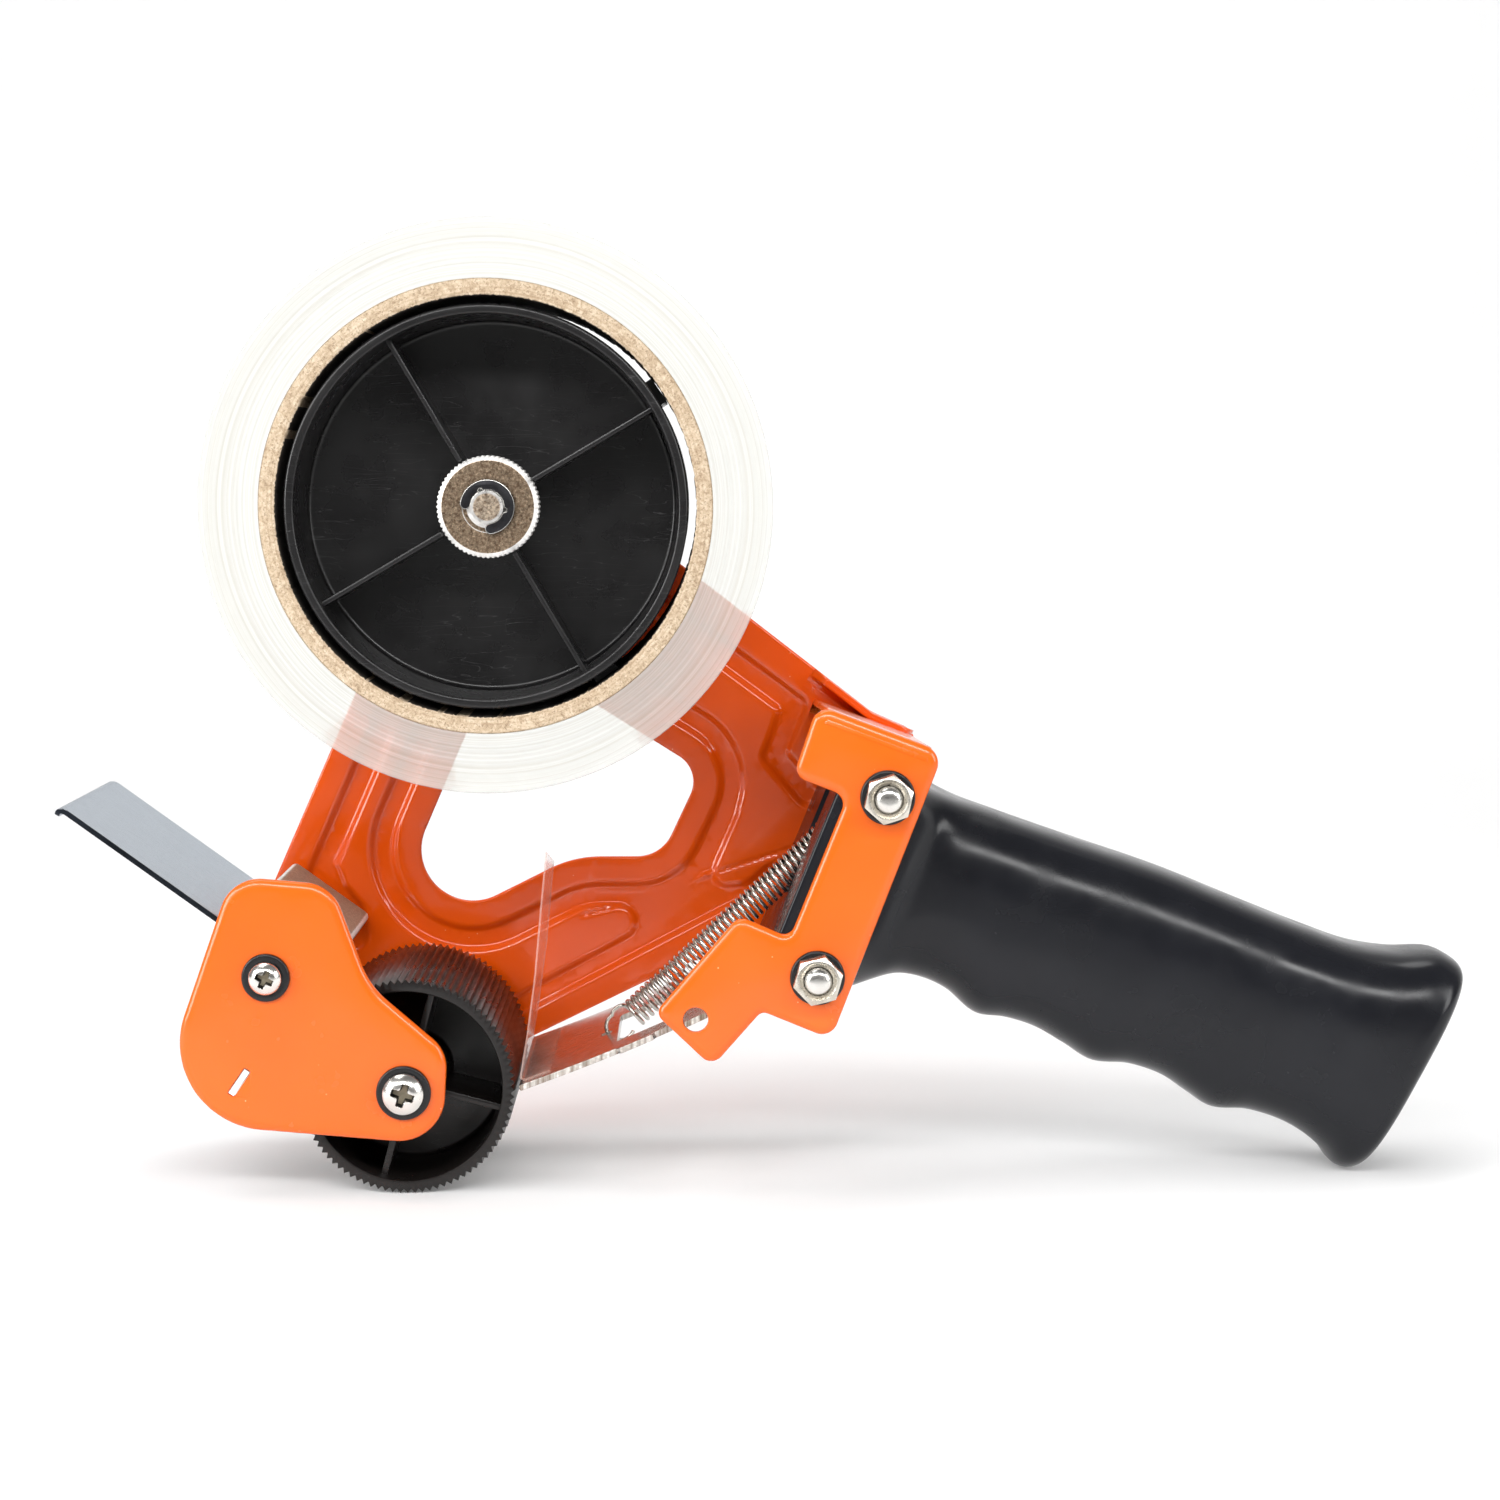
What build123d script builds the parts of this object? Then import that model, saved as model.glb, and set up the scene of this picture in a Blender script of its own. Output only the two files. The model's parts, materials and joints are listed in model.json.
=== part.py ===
from build123d import *
from math import cos, sin, radians, hypot
import os

# Hand-held tape gun. X runs along the gun (front flap at -X, handle at +X), Z is up and Y is across
# the tape, with the open loading side at -Y. The gun stands at Z = 0 on its roller and its handle heel.
# Points in the side view are (x, z) pairs in millimetres.

# ---- widths, as distances from the tape's mid-plane ----
SHEET = 1.5
PLATE_FACE = 28.5
PLATE_BACK = PLATE_FACE - SHEET
WASHER = 1.0
SPRING_WASHER = 1.2
NUT_HEIGHT = 4.0
BOLT_REACH = 34.2
TAPE_HALF = 24.0
HUB_HALF = 23.5
ROLLER_HALF = 23.0
BRACKET_HALF = 23.0
FLAP_HALF = 25.5
STRIP_HALF = 25.0
FILM_HALF = 22.0
GRIP_HALF = 16.0
TAB_REACH = PLATE_FACE - 0.1

# ---- axes in the side view ----
HUB_AXIS = (-51.8, 126.5)
ROLLER_AXIS = (-67.2, 20.0)
GUARD_AXIS = (-92.0, 41.3)
PIVOT = (-13.9, 33.2)
UPPER_BOLT = (21.0, 74.0)
LOWER_BOLT = (8.3, 41.0)

# ---- turned sizes (radii) ----
AXLE_R = 3.0
RUNNING = 0.05
TAPE_R = 52.1
CORE_R = 41.2
CORE_BORE_R = 38.1
HUB_RIM_R = 36.7
HUB_RIM_IN_R = 34.9
HUB_BOSS_R = 8.0
HUB_LOBE_R = 12.0
ROLLER_TIP_R = 20.0
ROLLER_ROOT_R = 19.25
ROLLER_TEETH = 90
ROLLER_RIM_IN_R = 17.6
ROLLER_BOSS_R = 6.5
PIN_R = 2.0
BOLT_R = 2.5
BOLT_HOLE_R = 2.6
SLEEVE_R = 4.0
BOLT_WASHER_R = 5.0
SPRING_WASHER_R = 4.2
PIVOT_HOLE_R = 2.3
NUT_FLATS = 8.0

# ---- tension plate, its film and its spring ----
STRIP = 1.1
FILM = 0.3
STRIP_ANGLE = 24.5
TONGUE = 4.4
STRIP_BEND_END = (-40.6, 22.1)
STRIP_TOE = 6.2
SPRING_Y = -4.0
SPRING_R = 2.95
SPRING_WIRE_R = 0.4
SPRING_WALL = 0.8
SPRING_CONES = (1.2, 5.0)
HOOK_POINT = (-30.3, 26.0)
STRIP_HOOK_R = 2.7
BOLT_HOOK_R = 4.8

# ---- guard: local frame at the guard pin, u down the slope to the rear, n square to the flap ----
GUARD_SLOPE = 36.0
GUARD_SHEET = 1.0
BOX_FRONT = -9.7
BOX_REAR = 7.5
BOX_TOP = 10.8
FLAP_TOP = 3.3
FLAP_TIP = -48.7

# ---- blade ----
BLADE_ANGLE = 55.7
BLADE_SLOT = (-97.2, 21.9)
SLOT_LENGTH = 5.3

os.makedirs("parts", exist_ok=True)


def save(name, *solids):
    """Write one node: a single solid, or a group of separate identical pieces."""
    shape = solids[0] if len(solids) == 1 else Compound(children=[s.solid() for s in solids])
    shape.label = name
    export_step(shape, f"parts/{name}.step")


def slab(face, y_near, y_far):
    """Extrude a side-view face across the gun, from y_near to y_far."""
    return extrude(Plane.XZ.offset(-y_far) * face, y_far - y_near)


def disc(centre, radius):
    return Pos(*centre) * Circle(radius)


def rod(centre, radius, y_near, y_far):
    return slab(disc(centre, radius), y_near, y_far)


def tube(centre, r_out, r_in, y_near, y_far):
    return slab(disc(centre, r_out) - disc(centre, r_in), y_near, y_far)


def outline(corners):
    """Closed side-view face from corners given as (x, z, corner radius)."""
    points = [(x, z) for x, z, radius in corners]
    return make_face(FilletPolyline(*points, radius=[r for x, z, r in corners], close=True))


def plan(corners, height=200.0):
    """Tall prism over a plan-view polygon of (x, y) corners."""
    return extrude(make_face(Polyline(*corners, close=True)), height)


def plan_box(low, high):
    """Tall prism over a plan-view rectangle given by two opposite corners."""
    return plan([low, (high[0], low[1]), high, (low[0], high[1])])


def mirrored(shape):
    """The same piece on the other side of the tape's mid-plane."""
    return shape.mirror(Plane.XZ)


def soften(shape, y_face, radius):
    """Round the outer edges of a plate where they meet its face at y_face."""
    face = shape.faces().filter_by(lambda f: abs(f.center().Y - y_face) < 0.01).sort_by(SortBy.AREA)[-1]
    return fillet(face.outer_wire().edges(), radius)


# Depth by which joined walls and ribs run into each other.
MERGE = 0.5


def polar(centre, radius, degrees):
    return (centre[0] + radius * cos(radians(degrees)), centre[1] + radius * sin(radians(degrees)))


def toothed(centre, tip_r, root_r, teeth):
    """Side-view face of a wheel with straight-sided teeth."""
    step = 360 / teeth
    points = []
    for tooth in range(teeth):
        points.append(polar(centre, tip_r, 270 + tooth * step))
        points.append(polar(centre, root_r, 270 + (tooth + 0.5) * step))
    return make_face(Polyline(*points, close=True))


def spokes(centre, r_in, r_out, first, width, y_near, y_far):
    """Four thin ribs at right angles between a boss and a rim."""
    ribs = Sketch()
    for turn in range(4):
        angle = first + 90 * turn
        place = Pos(*polar(centre, (r_in + r_out) / 2, angle)) * Rot(0, 0, angle)
        ribs += place * Rectangle(r_out - r_in, width)
    return slab(ribs, y_near, y_far)


def along(start, degrees, distance, aside=0.0):
    """Point a distance along a slope from start, and a distance aside to its left."""
    c, s = cos(radians(degrees)), sin(radians(degrees))
    return (start[0] + c * distance - s * aside, start[1] + s * distance + c * aside)


def guard_local(face):
    """Place a face drawn in the guard's own (u, n) frame in the side view."""
    return Pos(*GUARD_AXIS) * Rot(0, 0, -GUARD_SLOPE) * face


def pan_screw(centre, head_r, head_h, shank_r, seat, tip):
    """Cross-head pan screw on the near side: seat and tip are Y positions, seat is the outer one."""
    head = rod(centre, head_r, seat - head_h, seat)
    top_edge = head.edges().filter_by(lambda e: abs(e.center().Y - seat + head_h) < 0.01)
    head = fillet(top_edge, head_h * 0.75)
    for turn in (20, 110):
        slot = Pos(*centre) * Rot(0, 0, turn) * Rectangle(head_r * 1.05, head_r * 0.26)
        head -= slab(slot, seat - head_h, seat - head_h * 0.45)
    return head + rod(centre, shank_r, seat, tip)


def hexagon(centre, flats, turn):
    return Pos(*centre) * Rot(0, 0, turn) * RegularPolygon(flats / 2, 6, major_radius=False)


# ------------------------------------------------------------------ frame body: plates
BOLTS = (UPPER_BOLT, LOWER_BOLT)
SCREW_R = 1.6

FRONT_OUTLINE = [
    (-98.2, 59.7, 7.5), (-80.0, 58.1, 7.5), (-73.4, 39.6, 16), (-59.3, 27.4, 7),
    (-60.3, 10.0, 8.5), (-114.0, 14.7, 16),
]
BRACKET_OUTLINE = [
    (8.3, 90.8, 3), (31.3, 82.1, 3.5), (10.9, 29.4, 3), (-1.8, 34.6, 1.5), (-10.9, 24.3, 2.5),
    (-21.4, 34.3, 2), (-6.0, 52.2, 2.5), (3.3, 48.2, 2), (13.7, 74.0, 2.5), (3.9, 77.8, 2.5),
]
FRAME_OUTLINE = [
    (-44.2, 135.9, 1), (-62.7, 131.4, 1), (-99.6, 47.6, 14), (-113.0, 14.7, 16), (-66.5, 10.6, 8),
    (-20.6, 33.0, 1.5), (-10.9, 24.3, 2.5), (-1.8, 34.6, 1.5), (10.9, 29.4, 3), (30.6, 81.2, 3.5),
    (21.0, 85.4, 8),
]
WINDOW_OUTLINE = [
    (-78.7, 36.3, 10.2), (-38.2, 56.5, 23), (-20.8, 56.5, 7.5), (-12.7, 73.7, 6), (-52.0, 98.3, 9),
]
BEAD = (5.2, 8.6)
BEAD_DEPTH = 1.0
TOP_WALL = ((10.4, 90.0), (29.2, 82.9))
FLANGE = ((9.9, 93.8), (14.4, 90.4))
FLANGE_DEPTH = 3.5

blade_slot = Pos(*BLADE_SLOT) * Rot(0, 0, BLADE_ANGLE) * Rectangle(SLOT_LENGTH + 0.4, STRIP + 0.3)


def plate_holes():
    """Holes that both side plates share at the front."""
    return disc(ROLLER_AXIS, SCREW_R) + disc(GUARD_AXIS, SCREW_R) + blade_slot


def bracket_holes():
    return disc(UPPER_BOLT, BOLT_HOLE_R) + disc(LOWER_BOLT, BOLT_HOLE_R) + disc(PIVOT, PIVOT_HOLE_R)


def thick_line(ends, thickness):
    """Side-view face of a straight wall hung below the line between two points."""
    (x0, z0), (x1, z1) = ends
    length = hypot(x1 - x0, z1 - z0)
    nx, nz = (z1 - z0) / length * thickness, -(x1 - x0) / length * thickness
    return make_face(Polyline((x0, z0), (x1, z1), (x1 + nx, z1 + nz), (x0 + nx, z0 + nz), close=True))


def side_frame():
    """Far side plate with its window, the bead pressed round it, hub lobe and a turned upper edge."""
    window = outline(WINDOW_OUTLINE)
    body = outline(FRAME_OUTLINE) + disc(HUB_AXIS, HUB_LOBE_R)
    holes = window + plate_holes() + bracket_holes() + disc(HUB_AXIS, AXLE_R)
    plate = slab(body - holes, PLATE_BACK, PLATE_FACE)
    inner, outer = BEAD
    ridge = offset(window, outer + BEAD_DEPTH) - offset(window, inner - BEAD_DEPTH)
    plate += slab(ridge, PLATE_FACE, PLATE_FACE + BEAD_DEPTH)
    plate -= slab(offset(window, outer) - offset(window, inner), PLATE_BACK, PLATE_BACK + BEAD_DEPTH)
    return plate + slab(thick_line(FLANGE, SHEET), PLATE_BACK - FLANGE_DEPTH, PLATE_BACK + MERGE)


def front_cover_plate():
    plate = soften(slab(outline(FRONT_OUTLINE), -PLATE_FACE, -PLATE_BACK), -PLATE_FACE, 1.0)
    return plate - slab(plate_holes(), -PLATE_FACE, -PLATE_BACK)


def handle_bracket():
    """Near plate of the handle joint, with a top wall across to the side frame and a tab welded to it."""
    plate = soften(slab(outline(BRACKET_OUTLINE), -PLATE_FACE, -PLATE_BACK), -PLATE_FACE, 1.0)
    plate -= slab(bracket_holes(), -PLATE_FACE, -PLATE_BACK)
    wall = slab(thick_line(TOP_WALL, SHEET), -PLATE_BACK, PLATE_BACK)
    tab = slab(thick_line(TOP_WALL, 5.0), PLATE_BACK - SHEET, PLATE_BACK)
    return plate + wall + tab


save("side_frame", side_frame())
save("front_cover_plate", front_cover_plate())
save("handle_bracket", handle_bracket())

# ------------------------------------------------------------------ frame body: handle and its bolts
HANDLE_TOP = [
    (24.0, 77.9), (31.5, 73.2), (44.3, 68.2), (58.0, 63.4), (74.3, 57.8), (90.5, 51.2), (102.6, 46.4),
    (112.0, 43.1), (120.0, 41.8), (127.6, 41.9),
]
HANDLE_TOP_CORNER = [(127.6, 41.9), (130.5, 38.8), (128.2, 30.2)]
HANDLE_HEEL = [(116.4, 7.6), (113.3, 2.1), (110.7, 0.0)]
HANDLE_GRIP_SIDE = [
    (110.7, 0.0), (107.9, 1.0), (105.8, 3.8), (99.2, 8.7), (91.0, 11.6), (84.0, 12.2), (79.6, 15.0),
    (74.7, 18.3), (68.2, 20.5), (61.2, 21.2), (56.0, 24.4), (50.3, 27.7), (44.6, 29.5), (39.2, 30.3),
    (33.3, 35.1), (28.5, 37.3), (23.7, 38.0), (17.5, 36.9),
]
HANDLE_FRONT = [(17.5, 36.9), (5.0, 35.0), (-3.4, 37.2), (14.0, 80.0), (24.0, 77.9)]
HEAD_BACK = 31.0
NECK_BACK = 50.0
SPRING_POCKET = (-9.5, 1.5)


def handle_grip():
    """Moulded handle: a head that fills the space between the plates, flaring down to the grip."""
    edges = [
        Spline(*HANDLE_TOP), Spline(*HANDLE_TOP_CORNER), Line(HANDLE_TOP_CORNER[-1], HANDLE_HEEL[0]),
        Spline(*HANDLE_HEEL), Spline(*HANDLE_GRIP_SIDE), Polyline(*HANDLE_FRONT),
    ]
    body = slab(make_face(edges), -PLATE_BACK, PLATE_BACK)
    taper = plan([
        (-10, -PLATE_BACK), (HEAD_BACK, -PLATE_BACK), (NECK_BACK, -GRIP_HALF), (140, -GRIP_HALF),
        (140, GRIP_HALF), (NECK_BACK, GRIP_HALF), (HEAD_BACK, PLATE_BACK), (-10, PLATE_BACK),
    ])
    body = body & taper
    for bolt in BOLTS:
        body -= rod(bolt, SLEEVE_R, -PLATE_BACK, PLATE_BACK)
    pocket_back = UPPER_BOLT[0] + BOLT_HOOK_R + 1.5
    pocket = make_face(Polyline((-12, 44), (pocket_back, 66.5), (pocket_back, 84), (8, 84), close=True))
    return body - slab(pocket, *SPRING_POCKET)


save("handle_grip", handle_grip())
NUT_SEAT = -PLATE_FACE - WASHER
LOCK_SEAT = PLATE_FACE + WASHER
HEAD_SEAT = LOCK_SEAT + SPRING_WASHER
NUT_TURN = 18
HEAD_TURN = 10


def handle_bolt(centre):
    head = slab(hexagon(centre, NUT_FLATS, HEAD_TURN), HEAD_SEAT, BOLT_REACH)
    return rod(centre, BOLT_R, -BOLT_REACH, HEAD_SEAT) + head


def handle_nut(centre):
    return slab(hexagon(centre, NUT_FLATS, NUT_TURN) - disc(centre, BOLT_R), NUT_SEAT - NUT_HEIGHT, NUT_SEAT)


save("bolt_sleeves", *[tube(b, SLEEVE_R, BOLT_HOLE_R, -PLATE_BACK, PLATE_BACK) for b in BOLTS])
save("handle_bolts", *[handle_bolt(b) for b in BOLTS])
save("handle_nuts", *[handle_nut(b) for b in BOLTS])
save("nut_washers", *[tube(b, BOLT_WASHER_R, BOLT_R, NUT_SEAT, -PLATE_FACE) for b in BOLTS])
save("bolt_head_washers", *[tube(b, BOLT_WASHER_R, BOLT_R, PLATE_FACE, LOCK_SEAT) for b in BOLTS])
save("spring_washers", *[tube(b, SPRING_WASHER_R, BOLT_R, LOCK_SEAT, HEAD_SEAT) for b in BOLTS])

# ------------------------------------------------------------------ frame body: roller axle and guard pin
SCREW_BITE = 10.0
TAPPED_R = 1.5
ROLLER_SCREW_HEAD = (3.8, 2.4)
GUARD_SCREW_HEAD = (3.0, 2.1)
ROLLER_WASHER_R = 5.0
GUARD_WASHER_R = 4.4
GUARD_SPACER_R = 3.4
SPACER_GAP = 0.4


def cross_shaft(centre, radius):
    """Shaft between the side plates with a tapped blind hole in each end."""
    shaft = rod(centre, radius, -PLATE_BACK, PLATE_BACK)
    for near, far in ((-PLATE_BACK, -PLATE_BACK + SCREW_BITE), (PLATE_BACK - SCREW_BITE, PLATE_BACK)):
        shaft -= rod(centre, TAPPED_R, near, far)
    return shaft


def end_screws(name, centre, head_r, head_h):
    seat = -PLATE_FACE - WASHER
    screw = pan_screw(centre, head_r, head_h, TAPPED_R, seat, -PLATE_BACK + SCREW_BITE)
    save(name, screw, mirrored(screw))


def end_washers(name, centre, radius):
    washer = tube(centre, radius, TAPPED_R, -PLATE_FACE - WASHER, -PLATE_FACE)
    save(name, washer, mirrored(washer))


def spacers(name, centre, r_out, r_in, inner_end):
    spacer = tube(centre, r_out, r_in, -PLATE_BACK, -inner_end - SPACER_GAP)
    save(name, spacer, mirrored(spacer))


save("roller_axle", cross_shaft(ROLLER_AXIS, AXLE_R))
end_screws("roller_axle_screws", ROLLER_AXIS, *ROLLER_SCREW_HEAD)
end_washers("roller_axle_washers", ROLLER_AXIS, ROLLER_WASHER_R)
spacers("roller_spacers", ROLLER_AXIS, ROLLER_WASHER_R, AXLE_R, ROLLER_HALF)
save("guard_pin", cross_shaft(GUARD_AXIS, PIN_R))
end_screws("guard_pin_screws", GUARD_AXIS, *GUARD_SCREW_HEAD)
end_washers("guard_pin_washers", GUARD_AXIS, GUARD_WASHER_R)
spacers("guard_spacers", GUARD_AXIS, GUARD_SPACER_R, PIN_R, BRACKET_HALF)

# ------------------------------------------------------------------ frame body: blade and its holder
HOLDER_LOW = -2.6
HOLDER_HIGH = 8.3
HOLDER_LIP = (20.0, 5.5)
BLADE_LOW = -6.0
BLADE_HIGH = 3.6
BLADE = 0.6
BLADE_HALF = 25.0
BLADE_TEETH = 25
TOOTH_DEPTH = 1.5
BLADE_RIVETS = (-15.0, 15.0)
RIVET_R = 1.8
RIVET_HEIGHT = 0.8


def blade_holder():
    """Bent cross strip between the plates, with a tab through the slot in each of them."""
    low = along(BLADE_SLOT, BLADE_ANGLE, HOLDER_LOW)
    bend = along(BLADE_SLOT, BLADE_ANGLE, HOLDER_HIGH)
    lip = along(bend, *HOLDER_LIP)
    strip = slab(trace(FilletPolyline(low, bend, lip, radius=1.5), STRIP), -PLATE_BACK, PLATE_BACK)
    tab = Pos(*BLADE_SLOT) * Rot(0, 0, BLADE_ANGLE) * Rectangle(SLOT_LENGTH, STRIP)
    return strip + slab(tab, -TAB_REACH, TAB_REACH)


def serrated_blade():
    """Toothed cutting strip on the front face of the holder, teeth pointing down and forward."""
    pitch = 2 * BLADE_HALF / BLADE_TEETH
    points = [(BLADE_HIGH, -BLADE_HALF)]
    for tooth in range(BLADE_TEETH):
        points.append((BLADE_LOW + TOOTH_DEPTH, -BLADE_HALF + tooth * pitch))
        points.append((BLADE_LOW, -BLADE_HALF + (tooth + 0.5) * pitch))
    points += [(BLADE_LOW + TOOTH_DEPTH, BLADE_HALF), (BLADE_HIGH, BLADE_HALF)]
    origin = along(BLADE_SLOT, BLADE_ANGLE, 0, STRIP / 2)
    c, s = cos(radians(BLADE_ANGLE)), sin(radians(BLADE_ANGLE))
    plane = Plane(origin=(origin[0], 0, origin[1]), x_dir=(c, 0, s), z_dir=(-s, 0, c))
    return extrude(plane * make_face(Polyline(*points, close=True)), BLADE)


def blade_rivets():
    centre = along(BLADE_SLOT, BLADE_ANGLE, 0.6, STRIP / 2 + BLADE)
    c, s = cos(radians(BLADE_ANGLE)), sin(radians(BLADE_ANGLE))
    seats = [Plane(origin=(centre[0], y, centre[1]), z_dir=(-s, 0, c)) for y in BLADE_RIVETS]
    return [extrude(seat * Circle(RIVET_R), RIVET_HEIGHT) for seat in seats]


save("blade_holder", blade_holder())
save("serrated_blade", serrated_blade())
save("blade_rivets", *blade_rivets())

# ------------------------------------------------------------------ frame body: hub axle and brake
AXLE_END = -21.5
CLIP_GROOVE = (-19.9, -19.0)
CLIP_GROOVE_R = 2.2
CLIP_R = 5.0
BRAKE_NUT = (-18.6, -12.6)
BRAKE_NUT_R = 9.4
BRAKE_WASHER = (-12.3, -11.5)
HUB_BOSS = (-11.2, 19.5)
BRAKE_COIL_R = 5.0
BRAKE_WIRE_R = 0.6
RIVET_HEAD = (6.0, 2.4)


def hub_axle():
    """Fixed axle riveted to the side frame, with a groove for the clip at its free end."""
    axle = rod(HUB_AXIS, AXLE_R, AXLE_END, PLATE_FACE)
    axle -= tube(HUB_AXIS, AXLE_R, CLIP_GROOVE_R, *CLIP_GROOVE)
    head = rod(HUB_AXIS, RIVET_HEAD[0], PLATE_FACE, PLATE_FACE + RIVET_HEAD[1])
    rim = head.edges().filter_by(lambda e: abs(e.center().Y - PLATE_FACE - RIVET_HEAD[1]) < 0.01)
    return axle + fillet(rim, 1.5)


def axle_clip():
    """E-clip: a ring open to the lower front, with three prongs in the groove."""
    ring = disc(HUB_AXIS, CLIP_R) - disc(HUB_AXIS, CLIP_R - 1.6)
    for turn in (45, 135, 315):
        prong = Rot(0, 0, turn) * Pos((CLIP_GROOVE_R + CLIP_R - 1) / 2, 0)
        ring += Pos(*HUB_AXIS) * prong * Rectangle(CLIP_R - 1 - CLIP_GROOVE_R, 1.8)
    mouth = Pos(*HUB_AXIS) * Rot(0, 0, 226) * Pos(CLIP_R, 0) * Rectangle(CLIP_R * 1.6, 4.4)
    ring -= mouth
    ring -= disc(HUB_AXIS, CLIP_GROOVE_R)
    return slab(ring, CLIP_GROOVE[0] + 0.05, CLIP_GROOVE[1] - 0.05)


def brake_spring():
    """Open coil round the axle between its collar and the hub's boss."""
    turns, pitch = 2.5, 1.9
    start = HUB_BOSS[1] + 0.4 + BRAKE_WIRE_R
    place = Pos(HUB_AXIS[0], start, HUB_AXIS[1]) * Rot(-90, 0, 0)
    path = place * Helix(pitch, turns * pitch, BRAKE_COIL_R)
    section = Plane(origin=path @ 0, z_dir=path % 0) * Circle(BRAKE_WIRE_R)
    return sweep(section, path)


save("hub_axle", hub_axle())
save("axle_collar", tube(HUB_AXIS, 9.0, AXLE_R, PLATE_BACK - 1.2, PLATE_BACK))
save("brake_spring", brake_spring())
save("friction_washer", tube(HUB_AXIS, 7.0, AXLE_R, *BRAKE_WASHER))
save("axle_clip", axle_clip())

# ------------------------------------------------------------------ springs
SPRING_PLANE = Plane.XZ.offset(-SPRING_Y)


def ring_of_wire(centre, radius):
    """Closed loop of spring wire lying in the side view's plane."""
    return Pos(centre[0], SPRING_Y, centre[1]) * Rot(90, 0, 0) * Torus(radius, SPRING_WIRE_R)


def spring_line():
    """Unit direction of the spring in the side view, and its length from the tension plate to the upper bolt."""
    dx, dz = UPPER_BOLT[0] - HOOK_POINT[0], UPPER_BOLT[1] - HOOK_POINT[1]
    span = hypot(dx, dz)
    return dx / span, dz / span, span


def tension_spring():
    """Extension spring from the tension plate to the upper handle bolt: hollow body, cones, two hooks."""
    ux, uz, span = spring_line()
    low_loop = (HOOK_POINT[0] + ux * STRIP_HOOK_R, HOOK_POINT[1] + uz * STRIP_HOOK_R)
    start = 2 * STRIP_HOOK_R
    stop = span - BOLT_HOOK_R
    inside = SPRING_R - SPRING_WALL
    low, high = start + SPRING_CONES[0], stop - SPRING_CONES[1]
    profile = Polyline(
        (0, start), (SPRING_WIRE_R, start), (SPRING_R, low), (SPRING_R, high), (SPRING_WIRE_R, stop),
        (0, stop), (0, stop - 1.5), (inside, high), (inside, low), (0, start + 1.5), close=True,
    )
    origin = (HOOK_POINT[0], SPRING_Y, HOOK_POINT[1])
    section = Plane(origin=origin, x_dir=(0, 1, 0), z_dir=(uz, 0, -ux)) * make_face(profile)
    body = revolve(section, Axis(origin, (ux, 0, uz)))
    return body + ring_of_wire(low_loop, STRIP_HOOK_R) + ring_of_wire(UPPER_BOLT, BOLT_HOOK_R)


def guard_spring():
    """Torsion spring round the guard pin, with one leg up inside the bracket and one down to the holder."""
    coil = tube(GUARD_AXIS, PIN_R + 1.3, PIN_R + 0.3, -6, 6)
    up = guard_local(Pos(PIN_R + 0.8, 4.4) * Rectangle(0.8, 8.8))
    down = guard_local(Pos(-PIN_R - 0.8, -4.2) * Rectangle(0.8, 8.4))
    return coil + slab(up, -6, -5.2) + slab(down, 5.2, 6)


save("tension_spring", tension_spring())
save("guard_spring", guard_spring())

# ------------------------------------------------------------------ hub body
GRIP_RIBS = 8
GRIP_RIB = (2.4, 2.0)
GRIP_RIB_ENDS = (-19.5, 21.5)
HUB_WEB = (-5.0, -3.0)
HUB_RIB = 1.4
HUB_RIB_TURN = 30.5
HUB_RIB_ENDS = (-20.5, 18.0)
NUT_ROOM_R = 11.0


def tape_hub():
    """Plastic drum: rim, web, boss, four ribs on each side and low ribs outside that grip the core."""
    drum = tube(HUB_AXIS, HUB_RIM_R, HUB_RIM_IN_R, -HUB_HALF, HUB_HALF)
    drum += rod(HUB_AXIS, HUB_RIM_IN_R + MERGE, *HUB_WEB)
    drum += rod(HUB_AXIS, HUB_BOSS_R, *HUB_BOSS)
    rib_near, rib_far = HUB_RIB_ENDS
    for near, far in ((rib_near, HUB_WEB[0] + MERGE), (HUB_WEB[1] - MERGE, rib_far)):
        drum += spokes(HUB_AXIS, HUB_BOSS_R - MERGE, HUB_RIM_IN_R + MERGE, HUB_RIB_TURN, HUB_RIB, near, far)
    drum -= rod(HUB_AXIS, NUT_ROOM_R, -HUB_HALF, HUB_BOSS[0])
    grip = Sketch()
    for rib in range(GRIP_RIBS):
        angle = 360 / GRIP_RIBS * rib + 8
        grip += Pos(*polar(HUB_AXIS, HUB_RIM_R + 0.6, angle)) * Rot(0, 0, angle) * Rectangle(*GRIP_RIB)
    grip = grip & (disc(HUB_AXIS, CORE_BORE_R - RUNNING) - disc(HUB_AXIS, HUB_RIM_R - MERGE))
    drum += slab(grip, *GRIP_RIB_ENDS)
    return drum - rod(HUB_AXIS, AXLE_R + RUNNING, *HUB_BOSS)


def brake_nut():
    """Knurled steel nut that sets the drag on the hub."""
    near, far = BRAKE_NUT
    nut = slab(toothed(HUB_AXIS, BRAKE_NUT_R, BRAKE_NUT_R - 0.3, 60), near, far)
    cone = rod(HUB_AXIS, BRAKE_NUT_R + 0.2, near, far)
    cone = chamfer(cone.edges().filter_by(GeomType.CIRCLE), 0.7)
    nut = nut & cone
    return nut - rod(HUB_AXIS, AXLE_R + RUNNING, near, far)


save("tape_hub", tape_hub())
save("brake_nut", brake_nut())
save("tape_core", tube(HUB_AXIS, CORE_R, CORE_BORE_R, -TAPE_HALF, TAPE_HALF))
save("tape_winding", tube(HUB_AXIS, TAPE_R, CORE_R, -TAPE_HALF, TAPE_HALF))

# ------------------------------------------------------------------ roller body
ROLLER_WEB = (-2.0, 2.0)
ROLLER_RIB = 1.4
ROLLER_RIB_TURN = -15
ROLLER_RIB_INSET = 3.0


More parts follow.
